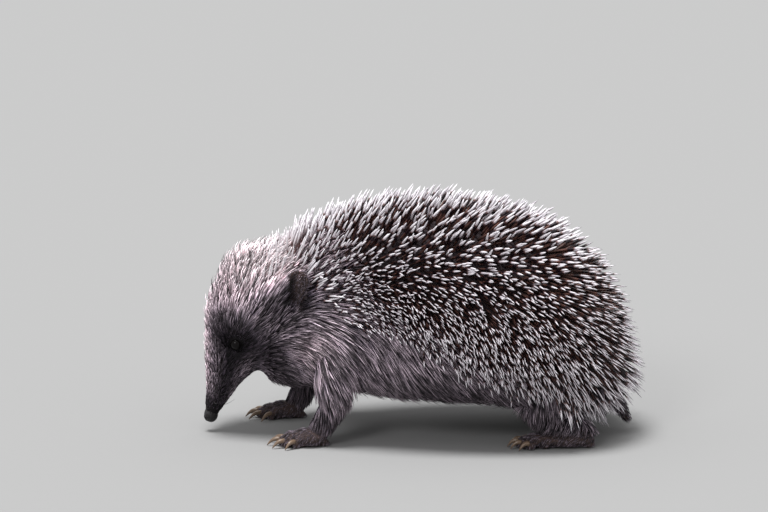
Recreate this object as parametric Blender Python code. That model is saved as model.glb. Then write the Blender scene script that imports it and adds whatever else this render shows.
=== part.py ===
"""A life-size European hedgehog that forages with its nose to the ground.

The animal faces -X and its left side faces -Y. It stands on the plane z = 0, and its
origin is on that plane, under the middle of its bounding box. Every solid reaches out to
the tips of the coat there. Lengths are in millimetres up to the point where a mesh is
made, and in metres after it.

The trunk and the head are lofts that are melted into one body and then parted with thin
cuts. Legs, feet, ears, eyes, nose and tail are solids of their own, cut back from
whatever they grow out of.
"""

import math

import bmesh
import bpy
import numpy as np
from mathutils import Vector
from mathutils.bvhtree import BVHTree

MM = 0.001
GAP = 0.3  # clearance between two neighbouring solids
WIDER = 200.0  # more than the animal reaches in any direction

# Trunk and neck out to the tips of the spines and hair, rump to nape. Each rib runs from a
# point on the back to a point under the belly, both on the middle plane.
TRUNK = (
    # back x, back z, belly x, belly z, half width, widest share up the rib, lower fullness
    (102.5, 34.0, 102.5, 26.0, 5.0, 0.45, 2.0),
    (101.4, 46.0, 101.4, 18.0, 17.0, 0.45, 2.0),
    (98.5, 58.5, 98.5, 12.5, 27.0, 0.42, 2.1),
    (93.5, 71.5, 93.5, 10.0, 36.5, 0.38, 2.3),
    (85.0, 84.5, 85.0, 9.5, 45.0, 0.34, 2.5),
    (70.0, 96.5, 70.0, 11.5, 52.5, 0.32, 2.6),
    (50.5, 108.6, 50.5, 14.0, 57.5, 0.31, 2.5),
    (30.0, 114.6, 30.0, 15.5, 59.0, 0.32, 2.4),
    (5.0, 116.9, 5.0, 17.0, 57.5, 0.35, 2.2),
    (-15.0, 115.2, -15.0, 18.5, 53.5, 0.38, 2.0),
    (-32.0, 112.2, -32.0, 20.5, 48.0, 0.42, 1.9),
    (-48.0, 106.8, -44.0, 22.0, 42.0, 0.46, 1.9),
    (-62.0, 98.5, -56.0, 21.5, 36.0, 0.50, 1.9),
    (-72.0, 89.5, -66.0, 22.0, 29.0, 0.52, 1.9),
    (-79.0, 75.0, -74.0, 26.0, 19.5, 0.50, 2.0),
    (-81.5, 60.0, -78.0, 36.0, 8.0, 0.50, 2.0),
)
BACK_FULLNESS = 2.25  # superellipse exponent of the upper half of a rib, 2 is an ellipse

# Head out to the tips of its hair, from the nose to the nape: centre of each section, how
# far it reaches towards the bridge and the crown, how far towards the jaw, half width.
HEAD = (
    # x, z, crown, jaw, half width
    (-99.3, 5.2, 1.5, 1.5, 2.4),
    (-99.2, 8.0, 3.4, 3.6, 4.2),
    (-98.4, 12.5, 4.4, 5.2, 5.4),
    (-96.4, 20.5, 6.2, 8.6, 7.4),
    (-93.8, 30.0, 8.2, 13.2, 10.8),
    (-90.4, 40.0, 10.6, 20.0, 15.8),
    (-86.4, 50.0, 13.6, 26.0, 21.8),
    (-80.5, 60.5, 18.2, 28.0, 26.4),
    (-72.0, 69.0, 21.4, 27.0, 29.4),
    (-60.0, 74.0, 23.0, 24.0, 29.5),
    (-46.0, 76.0, 22.0, 22.0, 27.0),
)
HEAD_FULLNESS = 2.1

# Cuts that part the body into its nodes, as lines in the side view. Each is a thin curved
# sheet that runs across the whole width of the animal.
HEAD_CUT = ((-42.0, 122.0), (-46.0, 108.0), (-72.0, 22.0), (-76.0, 5.0))
NECK_CUT = ((-44.0, 88.0), (-48.0, 75.0), (-64.0, 22.0), (-68.0, 5.0))
MANTLE_CUT = (
    (-75.0, 74.0),
    (-58.0, 71.0),
    (-43.0, 66.0),
    (-34.0, 57.5),
    (-24.0, 50.0),
    (-10.0, 43.5),
    (4.0, 38.0),
    (15.0, 32.5),
    (27.0, 27.5),
    (41.0, 23.5),
    (55.0, 20.5),
    (67.0, 18.5),
    (75.0, 14.0),
    (79.0, 0.0),
)
SNOUT_CUT = ((-112.0, 36.0), (-79.0, 25.0), (-78.0, 8.0))
MOUTH_CUT = ((-88.0, 6.5), (-94.0, 11.0), (-93.6, 16.0), (-90.4, 25.0), (-88.0, 36.0))

EYE_AT = (-87.0, 45.0)  # in the side view
EYE_RADIUS = 2.75
EYE_SUNK = 1.5  # from the surface of the coat to the centre of the eyeball

NOSE_AT = (-99.4, 0.0, 8.4)
NOSE_RADII = (3.3, 3.9, 3.9)

EAR_AT = (-61.5, 66.0)  # in the side view
EAR_ROOTED = 3.0  # how deep its foot lies under the surface of the coat
EAR_TALL = 14.5
EAR_WIDE = 12.5
EAR_THICK = 1.3
EAR_CUP = 3.2
EAR_UP = (0.18, -0.42, 0.89)  # left ear, from its foot to its tip
EAR_OPENS = (-0.66, -0.75, 0.0)

# Left limbs as chains of flesh from the body to the sole, seen from the middle plane out.
FORE_LEG = (
    # x, distance from the middle plane, z, radius across, radius fore and aft
    (-41.0, 24.0, 58.0, 9.0, 10.0),
    (-42.0, 29.5, 46.0, 11.5, 12.0),
    (-41.0, 32.5, 33.0, 10.5, 11.0),
    (-41.5, 32.5, 21.0, 8.0, 8.4),
    (-45.5, 31.5, 12.0, 6.4, 6.6),
    (-49.5, 31.0, 6.5, 6.0, 5.4),
)
FORE_PALM = (-52.5, 31.0, 4.0, 8.6, 7.6, 4.6)  # centre, then half length, width and height
FORE_TOES = (
    # sideways turn in degrees (out is positive), length from the palm's centre, radius
    (46.0, 9.0, 1.9),
    (24.0, 11.8, 2.2),
    (2.0, 12.8, 2.3),
    (-19.0, 12.0, 2.2),
    (-44.0, 9.4, 1.9),
)
FORE_CLAW = 6.0
# Each toe: share of its length, height of its middle, share of its radius
TOE_STOPS = ((0.3, 4.0, 1.0), (0.72, 4.2, 1.0), (1.0, 2.4, 0.9))
# Each claw: share of its length, height, radius across, radius up and down
CLAW_STOPS = ((0.0, 3.3, 1.15, 1.2), (0.55, 2.9, 0.85, 0.95), (1.0, 1.1, 0.55, 0.6))
CLAW_SET = 0.3  # from the tip of the toe to the foot of the claw
HIND_LEG = (
    (64.0, 28.0, 38.0, 11.0, 13.0),
    (56.0, 34.0, 27.0, 11.5, 13.0),
    (55.5, 36.5, 18.5, 9.5, 10.5),
    (66.0, 36.0, 13.5, 7.0, 7.0),
    (75.0, 34.5, 9.0, 5.6, 6.0),
    (78.5, 34.0, 5.0, 5.0, 4.8),
)
HIND_PALM = (65.5, 34.5, 3.6, 15.5, 6.6, 4.2)
HIND_TOES = (
    (24.0, 17.0, 1.7),
    (12.0, 19.4, 2.0),
    (1.0, 20.2, 2.1),
    (-10.0, 19.4, 2.0),
    (-22.0, 16.6, 1.7),
)
HIND_CLAW = 5.0
RIGHT_FORE_STEP = -12.0  # the right fore foot stands this much further along x
RIGHT_HIND_STEP = 9.0
WRIST_CUT = ((-30.0, 12.5), (-46.0, 9.2), (-72.0, 9.0))
ANKLE_CUT = ((40.0, 9.0), (70.0, 9.2), (96.0, 13.0))

TAIL = (
    (86.0, 0.0, 24.0, 5.0, 5.0),
    (92.0, 0.0, 15.0, 4.0, 4.0),
    (96.0, 0.0, 8.5, 2.8, 2.8),
    (98.0, 0.0, 5.0, 1.4, 1.4),
)

# Colour, roughness of each material, by the name of the node without its side.
MATERIALS = {
    "head": ("fur_face", (0.16, 0.12, 0.11), 0.85),
    "snout": ("fur_snout", (0.12, 0.09, 0.08), 0.85),
    "lower_jaw": ("fur_jaw", (0.11, 0.08, 0.075), 0.85),
    "neck": ("fur_neck", (0.15, 0.11, 0.10), 0.85),
    "trunk": ("fur_flank", (0.14, 0.11, 0.10), 0.85),
    "mantle": ("spines", (0.34, 0.27, 0.22), 0.6),
    "tail": ("tail_skin", (0.10, 0.07, 0.06), 0.8),
    "fore_leg": ("fur_fore_leg", (0.13, 0.095, 0.085), 0.85),
    "hind_leg": ("fur_hind_leg", (0.12, 0.09, 0.08), 0.85),
    "fore_foot": ("fore_foot_skin", (0.12, 0.08, 0.07), 0.75),
    "hind_foot": ("hind_foot_skin", (0.12, 0.08, 0.07), 0.75),
    "ear": ("ear_skin", (0.05, 0.035, 0.035), 0.8),
    "eye": ("eye", (0.006, 0.005, 0.005), 0.12),
    "nose_pad": ("nose", (0.012, 0.010, 0.011), 0.35),
}

VOXEL = 1.7
LIMB_VOXEL = 0.7
BODY_TRIANGLES = 2320
LIMB_TRIANGLES = 540


def smooth_through(table, count):
    """count rows read at even steps from a smooth curve through the rows of a table."""
    rows = np.array(table, float)
    slopes = np.gradient(rows, axis=0)
    at = np.linspace(0.0, len(rows) - 1.0, count)
    i = np.minimum(at.astype(int), len(rows) - 2)
    t = (at - i)[:, None]
    low, high = rows[i], rows[i + 1]
    return (
        (2 * t**3 - 3 * t**2 + 1) * low
        + (t**3 - 2 * t**2 + t) * slopes[i]
        + (3 * t**2 - 2 * t**3) * high
        + (t**3 - t**2) * slopes[i + 1]
    )


def superellipse(angles, fullness):
    """Across and up for each angle of a unit section, squared up by the exponent."""
    c, s = np.cos(angles), np.sin(angles)
    power = 2.0 / fullness
    return np.sign(c) * np.abs(c) ** power, np.sign(s) * np.abs(s) ** power


def mesh_object(name, vertices, faces):
    """An object from vertices in millimetres, with its faces pointing out."""
    mesh = bpy.data.meshes.new(name)
    mesh.from_pydata((np.asarray(vertices) * MM).tolist(), [], faces)
    bm = bmesh.new()
    bm.from_mesh(mesh)
    bmesh.ops.recalc_face_normals(bm, faces=bm.faces)
    bm.to_mesh(mesh)
    bm.free()
    obj = bpy.data.objects.new(name, mesh)
    bpy.context.scene.collection.objects.link(obj)
    return obj


def loft(name, rings):
    """A closed tube through rings of points, with a flat cap on each end."""
    rings = np.asarray(rings)
    count, around = rings.shape[:2]
    faces = [list(range(around)), list(range((count - 1) * around, count * around))]
    for i in range(count - 1):
        for j in range(around):
            k = (j + 1) % around
            faces.append([i * around + j, i * around + k, (i + 1) * around + k, (i + 1) * around + j])
    return mesh_object(name, rings.reshape(-1, 3), faces)


def trunk_loft(rings=80, around=56):
    angles = np.linspace(0.0, 2 * math.pi, around, endpoint=False)
    upper_y, upper_z = superellipse(angles, BACK_FULLNESS)
    made = []
    for back_x, back_z, belly_x, belly_z, half, share, fullness in smooth_through(TRUNK, rings):
        lower_y, lower_z = superellipse(angles, fullness)
        up = upper_z > 0
        level = np.where(up, share + (1 - share) * upper_z, share + share * lower_z)
        made.append(
            np.stack(
                [
                    belly_x + (back_x - belly_x) * level,
                    half * np.where(up, upper_y, lower_y),
                    belly_z + (back_z - belly_z) * level,
                ],
                1,
            )
        )
    return loft("trunk_form", made)


def head_loft(rings=60, around=40):
    angles = np.linspace(0.0, 2 * math.pi, around, endpoint=False)
    side, up = superellipse(angles, HEAD_FULLNESS)
    rows = smooth_through(HEAD, rings)
    along = np.gradient(rows[:, :2], axis=0)
    along /= np.linalg.norm(along, axis=1)[:, None]
    made = []
    for (x, z, crown, jaw, half), (dx, dz) in zip(rows, along, strict=True):
        reach = np.where(up > 0, crown, jaw) * up
        made.append(np.stack([x - dz * reach, half * side, z + dx * reach], 1))
    return loft("head_form", made)


def evaluated(obj):
    """obj with its modifiers applied to its mesh."""
    graph = bpy.context.evaluated_depsgraph_get()
    mesh = bpy.data.meshes.new_from_object(obj.evaluated_get(graph))
    obj.modifiers.clear()
    old, obj.data = obj.data, mesh
    bpy.data.meshes.remove(old)
    return obj


def joined(objects, name):
    """The meshes of several objects in one, which replaces them."""
    bm = bmesh.new()
    for obj in objects:
        bm.from_mesh(obj.data)
        bpy.data.objects.remove(obj)
    mesh = bpy.data.meshes.new(name)
    bm.to_mesh(mesh)
    bm.free()
    obj = bpy.data.objects.new(name, mesh)
    bpy.context.scene.collection.objects.link(obj)
    return obj


def melted(obj, voxel, smoothing):
    """obj as one skin with soft inner corners."""
    remesh = obj.modifiers.new("melt", "REMESH")
    remesh.mode = "VOXEL"
    remesh.voxel_size = voxel * MM
    soften = obj.modifiers.new("soften", "SMOOTH")
    soften.factor = 0.5
    soften.iterations = smoothing
    return evaluated(obj)


def thinned(obj, triangles):
    """obj with about that many triangles."""
    obj.data.calc_loop_triangles()
    decimate = obj.modifiers.new("thin", "DECIMATE")
    decimate.ratio = min(1.0, triangles / len(obj.data.loop_triangles))
    decimate.use_collapse_triangulate = True
    return evaluated(obj)


def body():
    """Trunk, neck and head as one solid that reaches out to the tips of the coat."""
    return thinned(melted(joined([trunk_loft(), head_loft()], "body"), VOXEL, 8), BODY_TRIANGLES)


def tube(name, rows, rings, around=16):
    """A tube through rows of x, y, z, radius across and radius fore and aft, with round ends."""
    rows = smooth_through(rows, rings)
    first, last = rows[0], rows[-1]
    along = np.gradient(rows[:, :3], axis=0)
    along /= np.linalg.norm(along, axis=1)[:, None]
    made = []
    a = np.linspace(0.0, 2 * math.pi, around, endpoint=False)
    caps = np.linspace(math.pi / 2, 0.0, 4)[:-1]
    steps = [(first, along[0], -math.sin(c), math.cos(c)) for c in caps[1:]]
    steps += [(row, t, 0.0, 1.0) for row, t in zip(rows, along, strict=True)]
    steps += [(last, along[-1], math.sin(c), math.cos(c)) for c in caps[:0:-1]]
    for row, t, beyond, share in steps:
        across = np.array([0.0, 1.0, 0.0]) - t * t[1]
        across /= np.linalg.norm(across)
        fore = np.cross(t, across)
        middle = row[:3] + t * beyond * min(row[3], row[4])
        made.append(
            middle
            + np.outer(np.cos(a) * row[3] * share, across)
            + np.outer(np.sin(a) * row[4] * share, fore)
        )
    return loft(name, made)


def ball(name, centre, radii, around=24, rings=14):
    """An ellipsoid with its poles on the y axis."""
    made = []
    for c in np.linspace(-math.pi / 2, math.pi / 2, rings)[1:-1]:
        a = np.linspace(0.0, 2 * math.pi, around, endpoint=False)
        made.append(
            np.stack(
                [
                    centre[0] + radii[0] * math.cos(c) * np.cos(a),
                    np.full(around, centre[1] + radii[1] * math.sin(c)),
                    centre[2] + radii[2] * math.cos(c) * np.sin(a),
                ],
                1,
            )
        )
    return loft(name, made)


def grown(obj, distance):
    """A copy of obj with its surface moved out by distance."""
    copy = obj.copy()
    copy.data = obj.data.copy()
    copy.name = obj.name + "_room"
    bpy.context.scene.collection.objects.link(copy)
    points = np.empty(len(copy.data.vertices) * 3, np.float32)
    normals = np.empty(len(copy.data.vertices) * 3, np.float32)
    copy.data.vertices.foreach_get("co", points)
    copy.data.vertices.foreach_get("normal", normals)
    copy.data.vertices.foreach_set("co", points + normals * distance * MM)
    copy.data.update()
    return copy


def without(obj, other):
    """obj with the room of other taken off it. The other object is used up."""
    step = obj.modifiers.new("cut", "BOOLEAN")
    step.solver = "EXACT"
    step.operation = "DIFFERENCE"
    step.object = other
    evaluated(obj)
    bpy.data.objects.remove(other)
    return obj


def cut_back(obj, from_object):
    """obj without what lies inside from_object or closer to it than the gap."""
    return without(obj, grown(from_object, GAP))


def sheet(line):
    """A sheet as thick as the gap, that follows a line in the side view."""
    p = np.array(line, float)
    along = np.gradient(p, axis=0)
    along /= np.linalg.norm(along, axis=1)[:, None]
    out = np.stack([-along[:, 1], along[:, 0]], 1) * GAP / 2
    rings = []
    for (x, z), (ox, oz) in zip(p, out, strict=True):
        w = WIDER
        rings.append([(x + ox, -w, z + oz), (x + ox, w, z + oz), (x - ox, w, z - oz), (x - ox, -w, z - oz)])
    return loft("sheet", rings)


def pieces(obj, smallest=2.0):
    """The separate bodies of obj as objects, largest first. Crumbs are dropped."""
    bm = bmesh.new()
    bm.from_mesh(obj.data)
    bm.verts.ensure_lookup_table()
    owner = [-1] * len(bm.verts)
    count = 0
    for start in bm.verts:
        if owner[start.index] >= 0:
            continue
        stack = [start]
        owner[start.index] = count
        while stack:
            for edge in stack.pop().link_edges:
                for v in edge.verts:
                    if owner[v.index] < 0:
                        owner[v.index] = count
                        stack.append(v)
        count += 1
    found = []
    for n in range(count):
        part = bm.copy()
        part.verts.ensure_lookup_table()
        gone = [v for v in part.verts if owner[v.index] != n]
        bmesh.ops.delete(part, geom=gone, context="VERTS")
        volume = abs(part.calc_volume()) / MM**3
        if volume > smallest:
            mesh = bpy.data.meshes.new("piece")
            part.to_mesh(mesh)
            piece = bpy.data.objects.new("piece", mesh)
            bpy.context.scene.collection.objects.link(piece)
            found.append((volume, piece))
        part.free()
    bm.free()
    bpy.data.objects.remove(obj)
    found.sort(key=lambda pair: -pair[0])
    return [piece for _, piece in found]


def centre_of(obj):
    """Middle of the bounding box, in millimetres."""
    box = np.array([corner[:] for corner in obj.bound_box]) / MM
    return box.min(0) / 2 + box.max(0) / 2


def parted(obj, line, axis):
    """The two bodies that a sheet along line parts obj into, by their place on an axis."""
    two = pieces(without(obj, sheet(line)))[:2]
    return sorted(two, key=lambda piece: centre_of(piece)[axis])


def surface(tree, x, z, side):
    """Where a line across the body at x, z leaves it on one side, and the normal there."""
    hit, normal, _, _ = tree.ray_cast(Vector((x, side * WIDER, z)) * MM, Vector((0, -side, 0)))
    return np.array(hit) / MM, np.array(normal)


def limb(name, leg, palm, toes, claw, side, step):
    """A leg with its foot, five toes and their claws as one body that stands flat on z = 0."""
    rows = [(x + step, side * y, z, across, fore) for x, y, z, across, fore in leg]
    forms = [tube("leg_form", rows, 26, 20)]
    x, y, z, length, width, height = palm
    x += step
    y *= side
    forms.append(ball("palm_form", (x, y, z), (length, width, height)))
    for turn, reach, radius in toes:
        a = math.radians(turn)
        ahead = np.array([-math.cos(a), side * math.sin(a), 0.0])
        ground = np.array([x, y, 0.0])
        rows = []
        for share, height, thick in TOE_STOPS:
            rows.append((*(ground + ahead * reach * share + (0, 0, height)), radius * thick, radius * thick))
        forms.append(tube("toe_form", rows, 7, 12))
        rows = []
        for share, height, across, tall in CLAW_STOPS:
            rows.append((*(ground + ahead * (reach + CLAW_SET + claw * share) + (0, 0, height)), across, tall))
        forms.append(tube("claw_form", rows, 8, 10))
    whole = melted(joined(forms, name), LIMB_VOXEL, 3)
    w = WIDER
    floor = loft("floor", [[(-w, -w, z), (w, -w, z), (w, w, z), (-w, w, z)] for z in (-w, 0)])
    return without(thinned(whole, LIMB_TRIANGLES), floor)


def ear(name, side, at):
    """A cupped leaf of skin on one side of the head."""
    up = Vector((EAR_UP[0], EAR_UP[1] * -side, EAR_UP[2])).normalized()
    opens = Vector((EAR_OPENS[0], EAR_OPENS[1] * -side, EAR_OPENS[2]))
    opens = (opens - up * opens.dot(up)).normalized()
    across = up.cross(opens)
    steps, around = 10, 14
    rings = []
    for i in range(steps):
        t = i / (steps - 1)
        height = EAR_TALL * t
        spread = (EAR_WIDE / 2) * (0.62 + 0.9 * t - 0.2 * t * t) * math.sqrt(max(0.02, 1 - t**5))
        ring = []
        for j in range(around):
            a = 2 * math.pi * j / around
            u = math.cos(a)
            thin = EAR_THICK * (0.5 - 0.22 * t) * math.sin(a) * (1 - 0.55 * u**4)
            cup = EAR_CUP * u * u * (1 - 0.35 * t) - 0.10 * height * t
            ring.append(np.array(at) + np.array(up * height + across * (spread * u) + opens * (cup + thin)))
        rings.append(ring)
    return loft(name, rings)


def named(obj, name):
    """obj under its final name, smooth, with its own material."""
    kind = name.replace("_left", "").replace("_right", "")
    slot, colour, roughness = MATERIALS[kind]
    obj.name = obj.data.name = name
    material = bpy.data.materials.get(slot) or bpy.data.materials.new(slot)
    material.use_nodes = True
    shader = material.node_tree.nodes["Principled BSDF"]
    shader.inputs["Base Color"].default_value = (*colour, 1.0)
    shader.inputs["Roughness"].default_value = roughness
    shader.inputs["Metallic"].default_value = 0.0
    obj.data.materials.clear()
    obj.data.materials.append(material)
    bm = bmesh.new()
    bm.from_mesh(obj.data)
    bmesh.ops.remove_doubles(bm, verts=bm.verts, dist=0.00002)
    bmesh.ops.triangulate(bm, faces=bm.faces)
    bm.to_mesh(obj.data)
    bm.free()
    obj.data.shade_smooth()
    obj.data.set_sharp_from_angle(angle=math.radians(50.0))
    return obj


def clear_scene():
    for obj in list(bpy.data.objects):
        bpy.data.objects.remove(obj)


clear_scene()

whole = body()
bpy.context.view_layer.update()
tree = BVHTree.FromObject(whole, bpy.context.evaluated_depsgraph_get())

for side, word in ((-1, "left"), (1, "right")):
    at, normal = surface(tree, *EAR_AT, side)
    rooted = at - normal * EAR_ROOTED
    named(cut_back(ear("ear", side, rooted), whole), "ear_" + word)
named(cut_back(tube("tail", TAIL, 8, 10), whole), "tail")

for side, word in ((-1, "left"), (1, "right")):
    at, normal = surface(tree, *EYE_AT, side)
    centre = at - normal * EYE_SUNK
    eye = named(ball("eye", centre, (EYE_RADIUS,) * 3, 16, 10), "eye_" + word)
    whole = cut_back(whole, eye)

    fore_step, hind_step = (0.0, 0.0) if side < 0 else (RIGHT_FORE_STEP, RIGHT_HIND_STEP)
    fore = limb("fore", FORE_LEG, FORE_PALM, FORE_TOES, FORE_CLAW, side, fore_step)
    hind = limb("hind", HIND_LEG, HIND_PALM, HIND_TOES, HIND_CLAW, side, hind_step)
    whole = cut_back(cut_back(whole, fore), hind)
    foot, leg = parted(fore, [(x + fore_step, z) for x, z in WRIST_CUT], 2)
    named(foot, "fore_foot_" + word)
    named(leg, "fore_leg_" + word)
    foot, leg = parted(hind, [(x + hind_step, z) for x, z in ANKLE_CUT], 2)
    named(foot, "hind_foot_" + word)
    named(leg, "hind_leg_" + word)

nose = named(ball("nose", NOSE_AT, NOSE_RADII, 16, 10), "nose_pad")
whole = cut_back(whole, nose)

head, rest = parted(whole, HEAD_CUT, 0)
lower, mantle = parted(rest, MANTLE_CUT, 2)
neck, trunk = parted(lower, NECK_CUT, 0)
snout, head = parted(head, SNOUT_CUT, 2)
snout, jaw = parted(snout, MOUTH_CUT, 0)
for piece, name in (
    (head, "head"),
    (snout, "snout"),
    (jaw, "lower_jaw"),
    (neck, "neck"),
    (mantle, "mantle"),
    (trunk, "trunk"),
):
    named(piece, name)
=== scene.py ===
"""Looks of a life-size hedgehog with its nose to the ground.

The solids of the frame reach out to the tips of the coat. One skin is sunk into them by
the depth of the coat, and the spines and hair grow from it back out to their surface.
The animal faces -X and its left side faces -Y. Lengths are in millimetres up to the point
where a mesh is made, and in metres after it.
"""

import math
import warnings
from contextlib import contextmanager

import bmesh
import bpy
import numpy as np
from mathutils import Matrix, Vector
from mathutils.bvhtree import BVHTree
from mathutils.kdtree import KDTree


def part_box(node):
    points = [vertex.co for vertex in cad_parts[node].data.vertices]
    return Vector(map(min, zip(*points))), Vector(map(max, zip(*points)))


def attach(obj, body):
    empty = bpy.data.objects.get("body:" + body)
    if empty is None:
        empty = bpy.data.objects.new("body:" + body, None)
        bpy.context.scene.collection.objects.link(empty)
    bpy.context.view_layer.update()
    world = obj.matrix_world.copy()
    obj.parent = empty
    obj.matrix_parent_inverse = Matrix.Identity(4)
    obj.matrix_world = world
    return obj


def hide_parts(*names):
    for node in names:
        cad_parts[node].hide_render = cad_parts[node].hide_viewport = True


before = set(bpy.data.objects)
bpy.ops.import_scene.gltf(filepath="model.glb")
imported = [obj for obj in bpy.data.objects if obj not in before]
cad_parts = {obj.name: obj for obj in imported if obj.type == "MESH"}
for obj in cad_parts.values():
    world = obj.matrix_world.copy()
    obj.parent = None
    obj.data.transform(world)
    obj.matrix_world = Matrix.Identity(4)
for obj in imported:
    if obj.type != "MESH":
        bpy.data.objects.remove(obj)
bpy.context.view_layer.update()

MM = 0.001

# ---------------------------------------------------------------- driving dimensions

SIDES = ("left", "right")
LIMBS = [f"{end}_{part}_{side}" for end in ("fore", "hind") for part in ("leg", "foot") for side in SIDES]
HEAD = ["head", "snout", "lower_jaw"]
TORSO = [*HEAD, "neck", "mantle", "trunk"]
EARS = ["ear_left", "ear_right"]

GAP_FILL = 0.3  # the solids are swollen by this much, so that they melt into one body
COARSE = 1.3  # grain of the head while it is sunk
FINE = 0.7  # grain of the whole skin
SKIN_TRIANGLES = 175000

# How deep the skin lies below the surface of the solids
SPINES_ON_TOP = 14.5
SPINES_ON_SIDE = 12.0
SPINES_ON_CROWN = 10.5
HAIR_ON_BROW = 6.0
RUMP_DEPTH = 12.0
HAIR_ON_FLANK = 7.0
HAIR_AT_NOSE = 0.45
HAIR_GROWTH = 0.05  # how much deeper the hair gets for each millimetre from the nose
HAIR_AT_EYE = 1.0

# Lower edge of the spiny mantle in the side view, from the forehead to the rump
MANTLE_EDGE = (
    (-112.0, 70.0),
    (-98.0, 69.0),
    (-85.0, 74.0),
    (-70.0, 80.0),
    (-61.0, 81.0),
    (-52.0, 75.0),
    (-43.0, 67.0),
    (-34.0, 59.0),
    (-24.0, 51.0),
    (-10.0, 44.0),
    (4.0, 38.5),
    (15.0, 33.0),
    (27.0, 28.0),
    (41.0, 23.5),
    (55.0, 18.5),
    (72.0, 12.0),
    (84.0, 7.0),
    (110.0, 4.0),
)

EYE_RADIUS = 2.75
EYE_OPENING = 2.45
LID_THICK = 0.3
EYE_CUTS = ((6.5, 2), (4.2, 1), (3.7, 1))  # finer skin round the eye: within this distance, cuts

HEAD_END = -30.0  # the head is cut off here, inside the trunk

EAR_AT = (-61.5, 66.0)  # in the side view
EAR_ROOTED = 7.0
EAR_TALL = 19.5
EAR_BLADE = 13.0  # the part of it above its foot
EAR_WIDE = 11.0
EAR_THICK = 2.3
EAR_CUP = 4.2
EAR_UP = (0.18, -0.42, 0.89)  # left ear, from its foot to its tip
EAR_OPENS = (-0.66, -0.75, 0.0)
EAR_MIDDLE = (-60.1, 36.4, 70.8)  # right ear
EAR_POCKET = 6.5  # radius of the flesh round its foot
EAR_RINGS = 30
EAR_POINTS = 48  # on each ring

# Toes as in the solids: palm's centre, then turn in degrees, reach from it, radius
FORE_PALM = (-52.5, 31.0, 4.0)
FORE_TOES = ((46.0, 9.0, 1.9), (24.0, 11.8, 2.2), (2.0, 12.8, 2.3), (-19.0, 12.0, 2.2), (-44.0, 9.4, 1.9))
FORE_CLAW = 6.0
HIND_PALM = (65.5, 34.5, 3.6)
HIND_TOES = ((24.0, 17.0, 1.7), (12.0, 19.4, 2.0), (1.0, 20.2, 2.1), (-10.0, 19.4, 2.0), (-22.0, 16.6, 1.7))
HIND_CLAW = 5.0
CLAW_STOPS = 10
CLAW_HEIGHT = 3.3  # at the toe
CLAW_DROP = 2.9
CLAW_RADIUS = 1.05
CLAW_POINT = 0.16
RIGHT_FORE_STEP = -12.0
RIGHT_HIND_STEP = 9.0
# Legs under their hair, from inside the trunk to the heel: point and radius
FORE_LEG = (
    (-38.0, 20.0, 58.0, 6.5),
    (-40.0, 27.5, 47.0, 8.6),
    (-41.0, 31.0, 34.0, 8.0),
    (-41.3, 32.3, 22.0, 5.9),
    (-45.0, 31.6, 12.5, 4.9),
    (-48.8, 31.0, 5.4, 4.6),
)
HIND_LEG = (
    (68.0, 22.0, 42.0, 8.0),
    (60.0, 31.0, 30.0, 9.8),
    (55.5, 35.5, 20.5, 8.2),
    (61.0, 36.2, 14.8, 6.2),
    (71.0, 35.6, 10.6, 5.0),
    (77.5, 34.0, 5.0, 4.3),
)
# Share of a toe's reach, height of its middle there and how thick it is
TOE_STOPS = ((0.3, 4.2, 1.05), (0.52, 4.9, 0.95), (0.72, 4.6, 0.92), (0.88, 3.4, 0.8), (1.0, 2.4, 0.9))
PALM_PAD = (2.2, 2.0, 1.7)
HEEL_PAD = (3.0, 3.6, 1.6)
HEEL_PADS_AT = (0.35, 0.8)  # behind the middle of the palm, as shares of its half length
LIMB_GRAIN = 0.5
FORE_SIZE = (8.0, 7.0, 4.0)  # half length, width and height of the palm
HIND_SIZE = (14.5, 6.0, 3.6)
TAIL_ROOT = (76.0, 0.0, 34.0)
TAIL_STOPS = 12
TAIL_RADIUS = 6.5
TAIL_TAPER = 4.9
SOLE = 0.12  # height of the flat under a paw

# Groove of the mouth in the side view, from the lip to its corner
MOUTH = ((-97.0, 12.5), (-95.0, 14.5), (-93.4, 18.5), (-90.8, 26.0))
MOUTH_DEEP = 0.6
MOUTH_WIDE = 0.8

# Smooth core that closes the pockets of limbs, ears and tail in the trunk
CORE_AXIS = ((-74.0, 62.0), (-50.0, 60.0), (-20.0, 64.0), (60.0, 58.0), (90.0, 42.0), (102.0, 32.0))
CORE_FRONT = -72.0
CORE_END = 101.0
CORE_RINGS = 100
CORE_POINTS = 96  # on each ring
POCKET_ROUNDS = 3000  # rounds of evening that carry the surface across a pocket
FAR_OUT = 100.0  # further out than either side of the animal

COAT_SEED = 7
STRAND_PATCH = 0.003  # side of a strand's patch in the unwrap
GROUND_GAP = 0.4  # hair stops this far above the ground
OTHER_TONE = 0.47  # tone where no mark lies
MUZZLE_STREAK = ((10, -95.5), (30, -91.5), (45, -87.0))  # dark line in the side view, partly the face's own dark marking and partly painted shade below the eye; height first

# Spines
SPINE_SEEDS = 60000  # places tried
SPINE_SPACING = 1.08
TOP_SPACING = 2.35
NAPE_SPACING = 2.05
CROWN_SPACING = 1.35
SPINE_RADIUS = 0.36
TOP_SPINE_RADIUS = 0.66
CROWN_SPINE_RADIUS = 0.48
SPINE_SIDES = 4
SPINE_THICKNESS = (0.5, 0.9, 1.0, 0.95, 0.6)  # from the root on, the tip is a point
SPINE_STOPS = (0.0, 0.12, 0.48, 0.74, 0.9)
SPINE_PIECES = 2
SPINE_FOOT = 0.8  # how far inside the skin a spine starts
SPINE_BEND = 0.035  # how far the tip bends aside, as a share of the length
# Length over which the bands of a spine run, measured back from its tip
BANDS_ON_SIDE = 11.0
BANDS_ON_TOP = 17.5
BANDS_AT_NAPE = 21.0
BANDS_LOW_BEHIND = 17.0

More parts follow.
